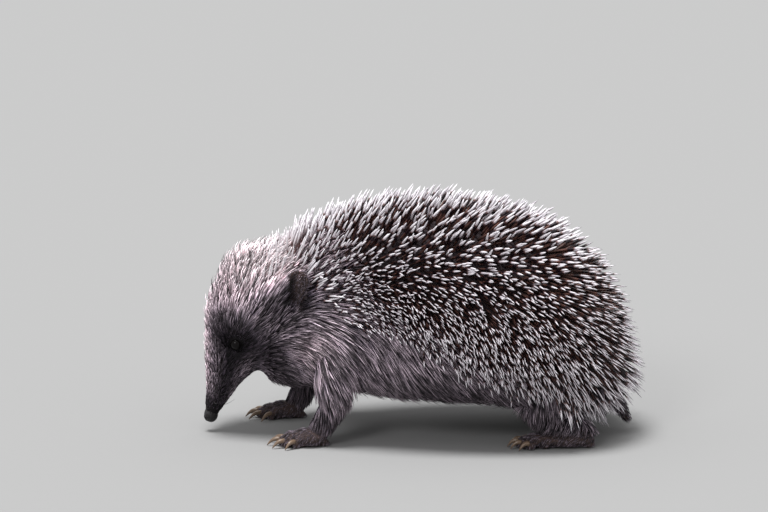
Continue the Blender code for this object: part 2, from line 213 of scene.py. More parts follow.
# Way a spine points, seen on the right side: place, then direction (out is positive)
SPINE_WAYS = (
    (-96, 0, 78, -0.2, 0.0, 1.0),
    (-88, 20, 80, 0.0, 0.25, 1.0),
    (-76, 0, 98, 0.15, 0.0, 1.0),
    (-70, 26, 84, 0.2, 0.35, 0.95),
    (-52, 0, 108, 0.3, 0.0, 1.0),
    (-50, 32, 88, 0.42, 0.55, 0.7),
    (-44, 40, 74, 0.6, 0.65, 0.15),
    (-40, 44, 62, 0.6, 0.6, -0.35),
    (-20, 0, 114, 0.4, 0.0, 0.95),
    (-20, 30, 102, 0.4, 0.5, 0.8),
    (-22, 44, 88, 0.45, 0.85, 0.3),
    (-20, 50, 74, 0.4, 0.85, -0.25),
    (-18, 50, 55, 0.35, 0.65, -0.65),
    (15, 0, 117, 0.5, 0.0, 0.9),
    (15, 34, 106, 0.45, 0.55, 0.7),
    (18, 46, 92, 0.42, 0.85, 0.3),
    (18, 54, 76, 0.3, 0.88, -0.3),
    (15, 57, 57, 0.26, 0.7, -0.65),
    (18, 54, 40, 0.2, 0.45, -0.85),
    (50, 0, 109, 0.66, 0.0, 0.75),
    (50, 34, 98, 0.58, 0.55, 0.5),
    (52, 46, 82, 0.48, 0.82, 0.05),
    (52, 54, 64, 0.36, 0.75, -0.5),
    (52, 53, 42, 0.26, 0.5, -0.8),
    (78, 0, 92, 0.88, 0.0, 0.45),
    (78, 32, 78, 0.78, 0.6, -0.02),
    (78, 40, 62, 0.6, 0.65, -0.4),
    (78, 42, 42, 0.45, 0.55, -0.7),
    (74, 42, 24, 0.25, 0.4, -0.9),
    (98, 0, 62, 1.0, 0.0, -0.1),
    (98, 18, 45, 0.9, 0.35, -0.4),
    (102, 0, 30, 0.8, 0.0, -0.6),
    (96, 20, 18, 0.5, 0.2, -0.85),
)

# Way the hair lies, in the same form
HAIR_WAYS = (
    (-102, 0, 14, 0.05, 0.0, 1.0),
    (-100, 0, 40, 0.0, 0.0, 1.0),
    (-95, 0, 65, -0.05, 0.0, 1.0),
    (-80, 0, 88, 0.15, 0.0, 1.0),
    (-96, 8, 20, 0.15, 0.1, 1.0),
    (-88, 18, 40, 0.25, 0.1, 0.9),
    (-78, 26, 48, 0.62, 0.15, 0.7),
    (-88, 20, 62, 0.08, 0.1, 1.0),
    (-78, 26, 74, 0.22, 0.1, 1.0),
    (-70, 30, 62, 0.55, 0.2, 0.8),
    (-85, 12, 25, 0.5, 0.1, 0.8),
    (-72, 15, 27, 0.95, 0.0, -0.1),
    (-62, 36, 40, 0.9, 0.15, -0.35),
    (-52, 38, 64, 0.95, 0.1, -0.25),
    (-40, 44, 50, 0.8, 0.1, -0.6),
    (-60, 0, 22, 1.0, 0.0, 0.0),
    (-20, 50, 40, 0.72, 0.0, -0.7),
    (10, 54, 30, 0.72, 0.0, -0.7),
    (45, 54, 22, 0.75, 0.0, -0.65),
    (0, 0, 17, 1.0, 0.0, 0.0),
    (85, 0, 10, 0.9, 0.0, -0.4),
    (-42, 42, 35, 0.15, 0.1, -1.0),
    (-44, 24, 35, 0.15, -0.1, -1.0),
    (-44, 36, 14, -0.1, 0.0, -1.0),
    (-58, 31, 6, -1.0, 0.0, -0.2),
    (62, 42, 18, 0.2, 0.0, -1.0),
    (72, 36, 12, -0.6, 0.0, -0.6),
    (60, 35, 6, -1.0, 0.0, -0.1),
    (95, 0, 12, 0.4, 0.0, -0.9),
    (-60, 40, 73, 0.35, 0.3, 0.9),
)

SPINE_WAY_REACH = 20.0  # how far a row of the tables above has a say
HAIR_WAY_REACH = 15.0

# Hair
HAIR_COUNT = 55500
HAIR_SIDES = 3
HAIR_THICKNESS = (0.9, 1.0, 0.9, 0.62, 0.0)  # from the root to the tip
HAIR_PIECES = 7
# Distance from the nose with the length of hair there, and with how steeply it leaves the skin
HAIR_LENGTHS = ((4, 1.6), (12, 2.4), (26, 4.6), (45, 8.5), (70, 12.5), (90, 15.0))
HAIR_LIFTS = ((0, 0.3), (30, 0.34), (60, 0.5), (100, 0.5))
# Distance from the ear with the greatest length of hair there
LONGEST_BY_EAR = ((4.0, 5.5), (8.0, 10.0), (12.0, 14.0))
# Length of a hair with its radius, and with the distance between locks of such hair
HAIR_RADII = ((1.5, 0.09), (4, 0.13), (9, 0.18), (14, 0.23))
LOCK_SPACING = ((2, 0.7), (6, 1.05), (12, 1.45))
LOCK_PULL = 0.66  # how far tips are drawn together into a lock

WHISKERS = 13  # places tried on each side of the muzzle, some of which may lie past its edge
WHISKER_ROW = 5  # whiskers in a row above each other
WHISKER_SIDES = 4
WHISKER_STOPS = 9
WHISKER_TAPER = 0.85
FIRST_WHISKER = (-99.0, 13.0)  # in the side view
WHISKER_GAPS = (2.6, 3.2)  # to the next row behind, and to the next one above
WHISKER_LENGTHS = (13, 21)
WHISKER_RADIUS = 0.13
BROW_WHISKERS = 3  # over each eye, in the same terms
FIRST_BROW_WHISKER = (-88.5, 50.0)
BROW_WHISKER_GAPS = (1.5, 0.8)
BROW_WHISKER_LENGTHS = (13, 17)
BROW_WHISKER_RADIUS = 0.1

# Stage
FLOOR_REACH = 12.0  # metres
FLOOR_SHADE = 0.303  # looks as pale under the lamps as the studio behind it
STUDIO_LIGHT = 0.6
LAMPS = (  # way of the light, spread in degrees, strength
    ("key", (0.12, 0.14, -1.0), 25.0, 4.0),
    ("side", (0.35, 0.8, -0.5), 16.0, 0.8),
)
CAMERA_AIM = (-0.0178, 0.0, 0.0841)
CAMERA_AWAY = 2.0
CAMERA_RAISED = 10.0  # degrees
CAMERA_LENS = 200.0



# ---------------------------------------------------------------- numbers


def between(low, high, value):
    """0 up to low, 1 past high and a smooth step between them; low may be the greater of the two."""
    t = np.clip((value - low) / (high - low), 0.0, 1.0)
    return t * t * (3.0 - 2.0 * t)


def hump(value, middle, spread, power=2):
    """1 at the middle, falling smoothly to 0 on both sides."""
    return np.exp(-(((value - middle) / spread) ** power))


def mixed(a, b, share):
    return a + (b - a) * share


def layered(value, layers):
    """The value with layers of another value and its share laid over it, one after the other."""
    for other, share in layers:
        value = mixed(value, other, share)
    return value


def unit(vectors):
    """Rows of vectors, each scaled to length one."""
    return vectors / np.maximum(np.linalg.norm(vectors, axis=-1, keepdims=True), 1e-9)


def distance_to(points, stops):
    """Distance to the nearest of a few stops."""
    return np.min([np.linalg.norm(points - stop, axis=1) for stop in stops], axis=0)


def read_off(table, value):
    """Second number of a table of pairs for a value of the first, straight between its rows."""
    return np.interp(value, *np.transpose(table))


def curve_through(rows, count):
    """Rows of numbers as a smooth curve through them (Catmull-Rom)."""
    rows = np.array(rows, float)
    ends = np.concatenate([2 * rows[:1] - rows[1:2], rows, 2 * rows[-1:] - rows[-2:-1]])
    place = np.linspace(0, len(rows) - 1, count)
    i = np.minimum(place.astype(int), len(rows) - 2)
    t = (place - i)[:, None]
    a, b, c, d = (ends[i + k] for k in range(4))
    return 0.5 * (2 * b + (c - a) * t + (2 * a - 5 * b + 4 * c - d) * t**2 + (3 * b - a - 3 * c + d) * t**3)


# ---------------------------------------------------------------- meshes


def linked(name, data):
    obj = bpy.data.objects.new(name, data)
    bpy.context.scene.collection.objects.link(obj)
    return obj


@contextmanager
def edited(mesh):
    """The mesh opened for editing and closed again."""
    bm = bmesh.new()
    bm.from_mesh(mesh)
    yield bm
    bm.to_mesh(mesh)
    bm.free()


def settled(obj):
    """Puts what the modifiers make into the mesh itself."""
    graph = bpy.context.evaluated_depsgraph_get()
    obj.data = bpy.data.meshes.new_from_object(obj.evaluated_get(graph))
    obj.modifiers.clear()
    obj.data.shade_smooth()


def vectors_of(collection, key):
    found = np.empty(len(collection) * 3, np.float32)
    collection.foreach_get(key, found)
    return found.reshape(-1, 3).astype(float)


def points_of(obj):
    return vectors_of(obj.data.vertices, "co") / MM


def normals_of(obj):
    return vectors_of(obj.data.vertices, "normal")


def place_points(obj, points):
    obj.data.vertices.foreach_set("co", (points * MM).astype(np.float32).ravel())
    obj.data.update()


def mesh_of(name, points, faces):
    """A mesh object from points in millimetres and a list of faces."""
    mesh = bpy.data.meshes.new(name)
    mesh.from_pydata((np.asarray(points) * MM).tolist(), [], faces)
    with edited(mesh) as bm:
        bmesh.ops.recalc_face_normals(bm, faces=bm.faces)
    mesh.shade_smooth()
    return linked(name, mesh)


def ring_faces(rings, around):
    """Quads between rings of points that follow each other."""
    faces = []
    for i in range(rings - 1):
        for j in range(around):
            k = (j + 1) % around
            faces.append([i * around + j, i * around + k, (i + 1) * around + k, (i + 1) * around + j])
    return faces


def loft(name, rings):
    """A closed tube through rings of points."""
    rings = np.asarray(rings)
    count, around = rings.shape[:2]
    caps = [list(range(around)), list(range((count - 1) * around, count * around))]
    return mesh_of(name, rings.reshape(-1, 3), caps + ring_faces(count, around))


def tube(name, path, radii, around=16):
    """A round closed tube along a path."""
    path = np.asarray(path, float)
    ahead = unit(np.gradient(path, axis=0))
    across = unit(np.cross(ahead, np.array((0.31, 0.43, 0.85))))
    up = np.cross(across, ahead)
    a = np.linspace(0, 2 * math.pi, around, endpoint=False)
    circle = np.cos(a)[None, :, None] * across[:, None] + np.sin(a)[None, :, None] * up[:, None]
    return loft(name, path[:, None] + circle * np.asarray(radii, float)[:, None, None])


def ball(name, centre, radii):
    obj = linked(name, bpy.data.meshes.new(name))
    with edited(obj.data) as bm:
        bmesh.ops.create_icosphere(bm, subdivisions=4, radius=1.0)
    place_points(obj, points_of(obj) * MM * np.array(radii) + np.array(centre))
    return obj


def round_piece(name, rows, columns, shape):
    """A closed ball of quads; shape turns directions into points."""
    rises = np.linspace(-1, 1, rows)[1:-1] * math.pi / 2
    turn, rise = np.meshgrid(np.arange(columns) / columns * 2 * math.pi, rises)
    ways = np.stack([np.cos(rise) * np.cos(turn), np.cos(rise) * np.sin(turn), np.sin(rise)], -1)
    ways = np.concatenate([ways.reshape(-1, 3), [(0, 0, -1.0), (0, 0, 1.0)]])
    south, north = len(ways) - 2, len(ways) - 1
    faces = ring_faces(rows - 2, columns)
    last = (rows - 3) * columns
    for j in range(columns):
        k = (j + 1) % columns
        faces.append([south, k, j])
        faces.append([north, last + j, last + k])
    return mesh_of(name, shape(ways), faces)


def joined(objects, name):
    """Several objects as the loose shells of one."""
    bm = bmesh.new()
    for obj in objects:
        bm.from_mesh(obj.data)
        bpy.data.objects.remove(obj)
    mesh = bpy.data.meshes.new(name)
    bm.to_mesh(mesh)
    bm.free()
    mesh.materials.clear()
    mesh.shade_smooth()
    return linked(name, mesh)


def melted(objects, name, voxel, smoothing):
    """Several closed objects as one closed skin with soft inner corners."""
    obj = joined(objects, name)
    remesh = obj.modifiers.new("melt", "REMESH")
    remesh.mode = "VOXEL"
    remesh.voxel_size = voxel * MM
    soften = obj.modifiers.new("soften", "SMOOTH")
    soften.factor = 0.5
    soften.iterations = smoothing
    settled(obj)
    return obj


def thinned(obj, triangles):
    """obj with about that many triangles."""
    decimate = obj.modifiers.new("thin", "DECIMATE")
    decimate.ratio = min(1.0, triangles / (2 * len(obj.data.polygons)))
    settled(obj)


def refined(obj, chosen, cuts):
    """The faces whose points are all chosen get cut finer."""
    with edited(obj.data) as bm:
        bm.verts.ensure_lookup_table()
        edges = [e for e in bm.edges if chosen[e.verts[0].index] and chosen[e.verts[1].index]]
        bmesh.ops.subdivide_edges(bm, edges=edges, cuts=cuts, use_grid_fill=True, smooth=0.6)
        bmesh.ops.triangulate(bm, faces=[f for f in bm.faces if len(f.verts) > 4])
    obj.data.shade_smooth()


def front_of(obj, x):
    """Cuts away what lies behind a cross plane and closes the cut."""
    with edited(obj.data) as bm:
        whole = [*bm.verts, *bm.edges, *bm.faces]
        plane = {"plane_co": (x * MM, 0, 0), "plane_no": (1, 0, 0)}
        bmesh.ops.bisect_plane(bm, geom=whole, clear_outer=True, **plane)
        bmesh.ops.holes_fill(bm, edges=[e for e in bm.edges if e.is_boundary], sides=0)
    return obj


def swollen(obj, distance):
    """A copy of a solid with its surface moved out."""
    copy = linked(obj.name + "_swollen", obj.data.copy())
    with edited(copy.data) as bm:
        bmesh.ops.remove_doubles(bm, verts=bm.verts, dist=1e-6)
    place_points(copy, points_of(copy) + normals_of(copy) * distance)
    return copy


def edges_of(obj):
    found = np.empty(len(obj.data.edges) * 2, np.int32)
    obj.data.edges.foreach_get("vertices", found)
    return found.reshape(-1, 2)


def evened(points, edges, rounds, share=0.5):
    """Points pulled towards the mean of their neighbours."""
    ends = np.concatenate([edges[:, 0], edges[:, 1]])
    others = np.concatenate([edges[:, 1], edges[:, 0]])
    count = np.maximum(np.bincount(ends, minlength=len(points)), 1)[:, None]
    for _ in range(rounds):
        total = np.stack([np.bincount(ends, column[others], len(points)) for column in points.T], 1)
        points = mixed(points, total / count, share)
    return points


def tree_of(objects):
    """One search tree for the faces of several objects."""
    points, faces = [], []
    for obj in objects:
        start = len(points)
        points.extend(v.co for v in obj.data.vertices)
        faces.extend([start + i for i in face.vertices] for face in obj.data.polygons)
    return BVHTree.FromPolygons(points, faces)


def side_hit(tree, x, z, side):
    """Point and normal where a line from one side at x and z meets the surface."""
    hit, normal, _, _ = tree.ray_cast(Vector((x, side * FAR_OUT, z)) * MM, Vector((0, -side, 0)))
    return (None, None) if hit is None else (np.array(hit) / MM, np.array(normal))


# ---------------------------------------------------------------- lie of the land


def centre_of(node):
    return sum(np.array(corner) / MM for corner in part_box(node)) / 2


NOSE = centre_of("nose_pad")
NOSE_SIZE = np.ptp(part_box("nose_pad"), axis=0) / MM
EYES = {side: centre_of("eye_" + side) for side in SIDES}


def mirrored(points):
    """Points folded over the middle plane to its right side."""
    return points * (1, 0, 1) + np.abs(points) * (0, 1, 0)


def from_nose(points):
    return np.linalg.norm(points - NOSE, axis=1)


def from_eye(points):
    """Distance to the eye of the same side."""
    return np.linalg.norm(mirrored(points) - mirrored(EYES["right"]), axis=1)


def mantle_share(points, softness, shift=0.0):
    """1 where spines grow, 0 where only hair does."""
    height = read_off(MANTLE_EDGE, points[:, 0]) + shift
    return between(-softness / 2, softness / 2, points[:, 2] - height)


def torso_depth(points, normals):
    """How far the skin of head, neck and trunk lies below the surface of the solids."""
    hair = np.minimum(HAIR_AT_NOSE + HAIR_GROWTH * from_nose(points), HAIR_ON_FLANK)
    brow = between(54.0, 70.0, points[:, 2]) * between(-76.0, -86.0, points[:, 0])
    hair = mixed(hair, HAIR_ON_BROW, brow)
    hair = mixed(HAIR_AT_EYE, hair, between(4.0, 11.0, from_eye(points)))
    upward = between(-0.1, 0.9, normals[:, 2])
    spines = mixed(SPINES_ON_SIDE, SPINES_ON_TOP, upward)
    spines = mixed(SPINES_ON_CROWN, spines, between(-78.0, -48.0, points[:, 0]))
    return mixed(hair, spines, mantle_share(points, softness=26.0))


# ---------------------------------------------------------------- trunk and head


def sunk(form, depth_at, steps, softness):
    """form, pulled in step by step by the depth of the coat."""
    start = points_of(form)
    edges = edges_of(form)
    depth = evened(depth_at(start, normals_of(form))[:, None], edges, softness)
    for _ in range(steps):
        moved = points_of(form) - normals_of(form) * depth / steps
        place_points(form, evened(moved, edges, 1, 0.3))
    return form


def measured_reach(nodes, stations, middles, turns):
    """Reach of the torso round its axis, and the pockets where a limb hides it."""
    body = tree_of([nodes[name] for name in TORSO])
    limbs = tree_of([nodes[name] for name in [*LIMBS, "tail"]])
    far = 2 * FAR_OUT * MM
    reach = np.zeros((len(stations), len(turns)))
    pocket = np.zeros(reach.shape, bool)
    for i, (x, z) in enumerate(zip(stations, middles)):
        for j, a in enumerate(turns):
            way = Vector((0, math.cos(a), math.sin(a)))
            start = Vector((x, 0, z)) * MM + way * far
            hit = body.ray_cast(start, -way)
            limb_hit = limbs.ray_cast(start, -way)
            reach[i, j] = (far - hit[3]) / MM if hit[0] else 0.0
            pocket[i, j] = not hit[0] or (limb_hit[0] and limb_hit[3] < hit[3] + MM)
    return reach, pocket


def bridged(reach, pocket):
    """The reach with its pockets filled smoothly from what lies round them."""
    for _ in range(2):
        pocket[1:-1] |= pocket[2:] | pocket[:-2]
        pocket |= np.roll(pocket, 1, 1) | np.roll(pocket, -1, 1)
    reach[pocket] = np.nan
    ends = np.pad(reach, ((2, 2), (0, 0)), mode="edge")
    near = [np.roll(ends, j, 1)[i : i + len(reach)] for i in range(5) for j in range(-2, 3)]
    with warnings.catch_warnings():
        warnings.simplefilter("ignore", RuntimeWarning)  # some windows lie wholly in a pocket
        reach = np.where(pocket, np.nanmedian(reach, axis=1, keepdims=True), np.nanmedian(near, axis=0))
    pocket |= np.isnan(reach)
    reach = np.where(np.isnan(reach), np.nanmedian(reach), reach)
    for _ in range(POCKET_ROUNDS):
        ends = np.concatenate([reach[:1], reach, reach[-1:]])
        around = (ends[2:] + ends[:-2] + np.roll(reach, 1, 1) + np.roll(reach, -1, 1)) / 4
        reach = np.where(pocket, around, reach)
    return reach


def trunk_forms(nodes):
    """The trunk as two lofts, one out to the tips of the coat and one under it."""
    stations = np.linspace(CORE_FRONT, CORE_END, CORE_RINGS)
    turns = np.linspace(0, 2 * math.pi, CORE_POINTS, endpoint=False)
    middles = read_off(CORE_AXIS, stations)
    reach = bridged(*measured_reach(nodes, stations, middles, turns))
    ways = np.stack([np.zeros(len(turns)), np.cos(turns), np.sin(turns)], 1)
    tips, roots = [], []
    for x, z, row in zip(stations, middles, reach):
        tips.append(np.array((x, 0, z)) + row[:, None] * ways)
        inner = np.maximum(row - torso_depth(tips[-1], ways), 0.25 * row)
        ahead = RUMP_DEPTH * between(50.0, CORE_END, x)
        roots.append(np.array((x - ahead, 0, z)) + inner[:, None] * ways)
    return loft("trunk_tips", tips), loft("trunk_roots", roots)


# ---------------------------------------------------------------- ears, limbs, tail


def ear_form(side, at):
    """A cupped leaf of skin, rooted under the coat."""
    mirror = np.array((1, -side, 1))
    up = unit(np.array(EAR_UP) * mirror)
    opens = np.array(EAR_OPENS) * mirror
    opens = unit(opens - up * (opens @ up))
    across = np.cross(up, opens)
    rings = []
    a = np.linspace(0, 2 * math.pi, EAR_POINTS, endpoint=False)
    u = np.sign(np.cos(a)) * np.abs(np.cos(a)) ** 0.6
    face = np.sign(np.sin(a)) * np.abs(np.sin(a)) ** 0.6
    foot = 1 - EAR_BLADE / EAR_TALL
    for t in np.linspace(0, 1, EAR_RINGS):
        blade = max(0.0, (t - foot) / (1 - foot))
        spread = EAR_WIDE / 2 * (0.62 + 0.9 * blade - 0.2 * blade**2) * math.sqrt(max(0.03, 1 - blade**5))
        cup = EAR_CUP * u * u * (1 - 0.35 * blade) - 1.4 * blade**2
        thick = EAR_THICK / 2 * face
        rings.append(at + up * EAR_TALL * t + np.outer(spread * u, across) + np.outer(cup + thick, opens))
    return loft("ear_form", rings)


def ears_on(tree):
    """Both ears, and the flesh that they are rooted in."""
    ears, pockets = [], []
    for side in (-1, 1):
        hit, normal = side_hit(tree, *EAR_AT, side)
        flesh = (EAR_POCKET, EAR_POCKET - 0.5, EAR_POCKET)
        pockets.append(ball("ear_pocket", hit - normal * EAR_POCKET, flesh))
        ears.append(ear_form(side, hit - normal * EAR_ROOTED))
    return ears, pockets


def placed(end, side, points):
    """Points of a left limb, moved to the limb that is asked for."""
    step = RIGHT_FORE_STEP if end == "fore" else RIGHT_HIND_STEP
    points = np.atleast_2d(np.array(points, float))
    return points * (1, -1, 1) if side == "left" else points + (step, 0, 0)


def toes_of(end, side):
    """For each toe of a foot: the ground under the palm, way ahead, reach and radius."""
    palm, toes = (FORE_PALM, FORE_TOES) if end == "fore" else (HIND_PALM, HIND_TOES)
    ground = placed(end, side, palm)[0] * (1, 1, 0)
    for turn, reach, radius in toes:
        a = math.radians(turn)
        yield ground, np.array((-math.cos(a), math.sin(a) * np.sign(ground[1]), 0.0)), reach, radius


def limb_form(end, side):
    """Leg, palm, toes with knuckles, and pads under them."""
    fore, hind = (FORE_LEG, FORE_SIZE, FORE_PALM), (HIND_LEG, HIND_SIZE, HIND_PALM)
    leg, size, palm = fore if end == "fore" else hind
    middle = placed(end, side, palm)[0]
    leg = curve_through(leg, 30)
    forms = [tube("leg", placed(end, side, leg[:, :3]), leg[:, 3], 28)]
    forms.append(ball("palm", middle + (0, 0, 0.4), size))
    for ground, ahead, reach, radius in toes_of(end, side):
        path = [ground + ahead * reach * share + (0, 0, z) for share, z, _ in TOE_STOPS]
        forms.append(tube("toe", path, [radius * thick for _, _, thick in TOE_STOPS]))
        tip = ground + ahead * reach
        forms.append(ball("pad", tip + (0, 0, 1.5), (radius * 0.95, radius * 0.85, 1.4)))
        forms.append(tube("sheath", [tip + (0, 0, 2.9), tip + ahead * 1.6 + (0, 0, 3.2)], (1.5, 1.0)))
        forms.append(ball("pad", ground + ahead * reach * 0.55 + (0, 0, PALM_PAD[2]), PALM_PAD))
    for share in HEEL_PADS_AT:
        forms.append(ball("pad", middle * (1, 1, 0) + (size[0] * share, 0, HEEL_PAD[2]), HEEL_PAD))
    return melted(forms, "limb_form", LIMB_GRAIN, 2)


def tail_line():
    """Middle of the tail from inside the rump to its tip."""
    low, high = (np.array(corner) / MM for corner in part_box("tail"))
    tip = np.array((high[0] - 2.2, 0, low[2] + 2.0))
    shares = np.linspace(0, 1, TAIL_STOPS)[:, None]
    line = mixed(np.array(TAIL_ROOT), tip, shares)
    return line + (0, 0, 3.0) * np.sin(math.pi * shares)


def tail_form():
    return tube("tail_form", tail_line(), TAIL_RADIUS - TAIL_TAPER * np.linspace(0, 1, TAIL_STOPS), 24)


# ---------------------------------------------------------------- skin


def lids(points, eye, outward):
    """Points of the skin round an eye, shaped into lids that hug the eyeball."""
    w = points - eye
    height = w @ outward
    flat = w - np.outer(height, outward)
    along = unit(np.array((0.25, 0, 1)) - outward * (np.array((0.25, 0, 1)) @ outward))
    across = np.cross(outward, along)
    rho = np.hypot(flat @ along / 1.12, flat @ across)
    above = flat @ along / np.maximum(rho, 0.1)
    radius = np.linalg.norm(flat, axis=1)
    inside = np.sqrt(np.maximum(EYE_RADIUS**2 - radius**2, 0.0)) - 0.8
    lid = np.sqrt(np.maximum((EYE_RADIUS + LID_THICK) ** 2 - radius**2, 0.0))
    shaped = mixed(inside, np.maximum(lid, height), between(EYE_OPENING - 0.2, EYE_OPENING + 0.12, rho))
    crease = (0.25 + 0.2 * above) * hump(rho, 3.8, 0.5)
    shaped = mixed(shaped, height, between(2.6, 5.6, rho)) - crease
    near = (np.abs(height) < 5) & (rho < 6)
    return np.where(near[:, None], flat + np.outer(shaped, outward) + eye, points)


def open_eyes(skin):
    for distance, cuts in EYE_CUTS:
        refined(skin, from_eye(points_of(skin)) < distance, cuts)
    for eye in EYES.values():
        tree = BVHTree.FromObject(skin, bpy.context.evaluated_depsgraph_get())
        _, outward, _, _ = tree.find_nearest(Vector(eye) * MM)
        aim = unit(np.array(outward) + np.array((-0.15, 0.25 * np.sign(eye[1]), 0.0)))
        place_points(skin, lids(points_of(skin), eye, aim))


def mouth_distance(points):
    """Distance to the line of the mouth in the side view."""
    best = np.full(len(points), 1e3)
    line = np.array(MOUTH)
    flat = points[:, [0, 2]]
    for start, end in zip(line[:-1], line[1:]):
        run = end - start
        share = np.clip((flat - start) @ run / (run @ run), 0, 1)
        best = np.minimum(best, np.linalg.norm(flat - start - share[:, None] * run, axis=1))
    return best


def cut_mouth(skin):
    """Presses the groove of the mouth into both sides of the muzzle."""
    points = points_of(skin)
    groove = MOUTH_DEEP * hump(mouth_distance(points), 0.0, MOUTH_WIDE)
    groove *= (np.abs(points[:, 1]) > 1.5) * (points[:, 2] < 30)
    place_points(skin, points - normals_of(skin) * groove[:, None])


def evened_joins(skin):
    """Evens out the neck, where head and trunk melt together, and the grain of the ears."""
    points = points_of(skin)
    on_ear = between(12.0, 9.0, np.linalg.norm(mirrored(points) - EAR_MIDDLE, axis=1))
    on_neck = between(-62.0, -52.0, points[:, 0]) * between(22.0, 30.0, points[:, 2])
    behind_jaw = hump(points[:, 0], -71.0, 7.0, 4) * between(12.0, 18.0, points[:, 2])
    on_neck = np.maximum(on_neck, behind_jaw) * (1 - on_ear)
    points = mixed(points, evened(points, edges_of(skin), 6), on_ear[:, None])
    place_points(skin, mixed(points, evened(points, edges_of(skin), 25), on_neck[:, None]))


def make_skin():
    """One skin for the whole body, and a search tree of its ears."""
    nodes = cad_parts
    solids = [swollen(nodes[name], GAP_FILL) for name in [*HEAD, "nose_pad", "eye_left", "eye_right"]]
    ears, pockets = ears_on(tree_of([nodes[name] for name in TORSO]))
    ear_tree = tree_of(ears)
    tips, roots = trunk_forms(nodes)
    head = melted([*solids, *pockets, tips], "head_form", COARSE, 3)
    forms = [front_of(sunk(head, torso_depth, 6, 8), HEAD_END), roots, *ears, tail_form()]
    forms.extend(limb_form(end, side) for side in SIDES for end in ("fore", "hind"))
    skin = melted(forms, "skin", FINE, 2)
    evened_joins(skin)
    thinned(skin, SKIN_TRIANGLES)
    open_eyes(skin)
    cut_mouth(skin)
    points = points_of(skin)
    points[:, 2] = np.maximum(points[:, 2], SOLE)
    place_points(skin, points)
    return skin, ear_tree


skin, ear_tree = make_skin()
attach(skin, "root")
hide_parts(*TORSO, *LIMBS, "tail", *EARS)


# ---------------------------------------------------------------- markings and painted shade


def brow_share(points):
    """1 on the forehead, where coarse pale bristles run into the spines."""
    edge = 59.0 + 0.55 * (points[:, 0] + 93.0)
    return between(0.0, 12.0, points[:, 2] - edge) * between(-58.0, -66.0, points[:, 0])


def from_ear(points):
    """Distance to the middle line of the ear of the same side."""
    up = unit(np.array(EAR_UP) * (1, -1, 1))
    w = mirrored(points) - EAR_MIDDLE
    share = np.clip(w @ up, -4.0, 6.5)
    return np.linalg.norm(w - np.outer(share, up), axis=1)


def ear_gap(points):
    """Distance to the surface of the nearest ear."""
    gap = np.full(len(points), 50.0)
    for i in np.flatnonzero(from_ear(points) < 14.0):
        gap[i] = ear_tree.find_nearest(Vector(points[i]) * MM)[3] / MM
    return gap


def tail_distance(points):
    """Distance to the middle line of the tail outside the rump."""
    return distance_to(points, tail_line()[4:])


def on_limb(points):
    """1 on the legs and feet, 0 on the trunk."""
    share = np.zeros(len(points))
    for end, leg, size in (("fore", FORE_LEG, 10.0), ("hind", HIND_LEG, 12.0)):
        for side in SIDES:
            line = placed(end, side, curve_through(leg, 12)[:, :3])
            share = np.maximum(share, between(size + 2, size - 1, distance_to(points, line[4:])))
    return share


def face_marks_and_shade(points):
    """Tones of the head, real ones and painted shade: the tone and share of each, every one painted over
    those before it.
    """
    x, y, z = mirrored(points).T
    brow = between(52, 90, z + 0.15 * (x + 90)) * between(-58, -72, x)
    temple = hump(x, -71, 10.0) * hump(z, 59, 8.0) * between(14, 22, y)
    bridge = hump(y, 0, 7.0) * between(-78, -90, x) * between(64, 40, z)
    # Painted shade: the cheeks are darkened where the brow shades them
    cheek_painted_shade = hump(x, -74, 9.0) * hump(z, 40, 10.0)
    eye = EYES["right"]
    # Dark round the eye and down the muzzle: partly the face's own dark marking, partly painted shade on
    # the shaded side of the face
    mask_and_shade = hump(np.hypot((x - eye[0]) / 1.2, z - eye[2]), 0, 8.0) * between(6, 12, y)
    streak_and_shade = hump(x, read_off(MUZZLE_STREAK, z), 3.6)
    streak_and_shade *= between(48, 40, z) * between(2.0, 5.0, y)
    throat = between(32, 22, z) * between(-50, -62, x) * between(-93, -86, x)
    return (
        (1.0, brow),
        (0.24, 0.9 * temple),
        (0.62, bridge),
        (0.24, cheek_painted_shade),
        (0.04, np.clip(mask_and_shade + 0.85 * streak_and_shade, 0, 1)),
        (0.16, between(14, 6, from_nose(points))),
        (0.34, throat),
    )


def ear_marks_and_shade(points):
    """Tones of the ears: painted shade in the cup and on its front, brown back, paler rim."""
    gap, away = ear_gap(points), from_ear(points)
    w = mirrored(points) - EAR_MIDDLE
    # Painted shade: the cup of the ear and the skin in front of it are darkened
    ear_hollow_shade = hump(np.linalg.norm(w - (-4.0, 0.5, -2.0), axis=1), 0, 9.5)
    ahead = w[:, 0] - 0.2 * w[:, 2]
    rim = between(2.0, 0.8, gap) * between(6.0, 7.6, away) * between(-7.0, 0.0, w[:, 2])
    return (
        (0.08, np.clip(1.3 * ear_hollow_shade, 0, 1)),
        (0.03, between(1.0, -2.5, ahead) * between(10.5, 8.0, away)),
        (0.3, between(2.0, 0.8, gap) * between(1.0, 4.0, ahead)),
        (0.45, rim),
    )


def markings_and_painted_shade(points):
    """Tone of skin and coat: 0 the black round the eye, 0.5 the flanks and 1 the pale brow, with painted
    shade laid in among the animal's own colours.
    """
    x, _, z = points.T
    # Painted shade: the low flanks behind the shoulder are made darker
    low_flank_painted_shade = (0.38, between(48, 34, z) * between(-30, 0, x))
    neck = (0.62, between(-30, -60, x) * between(30, 45, z))
    tail = (0.45, between(9, 6, tail_distance(points)))
    legs = (0.36, between(24, 12, z) * between(-80, -60, x))
    marks_and_shade = (low_flank_painted_shade, neck, *face_marks_and_shade(points), *ear_marks_and_shade(points), tail, legs)
    return layered(np.full(len(points), OTHER_TONE), marks_and_shade)


def give(obj, name, values):
    """Stores one number for each point of the mesh."""
    layer = obj.data.attributes.new(name, "FLOAT", "POINT")
    layer.data.foreach_set("value", np.asarray(values, np.float32))


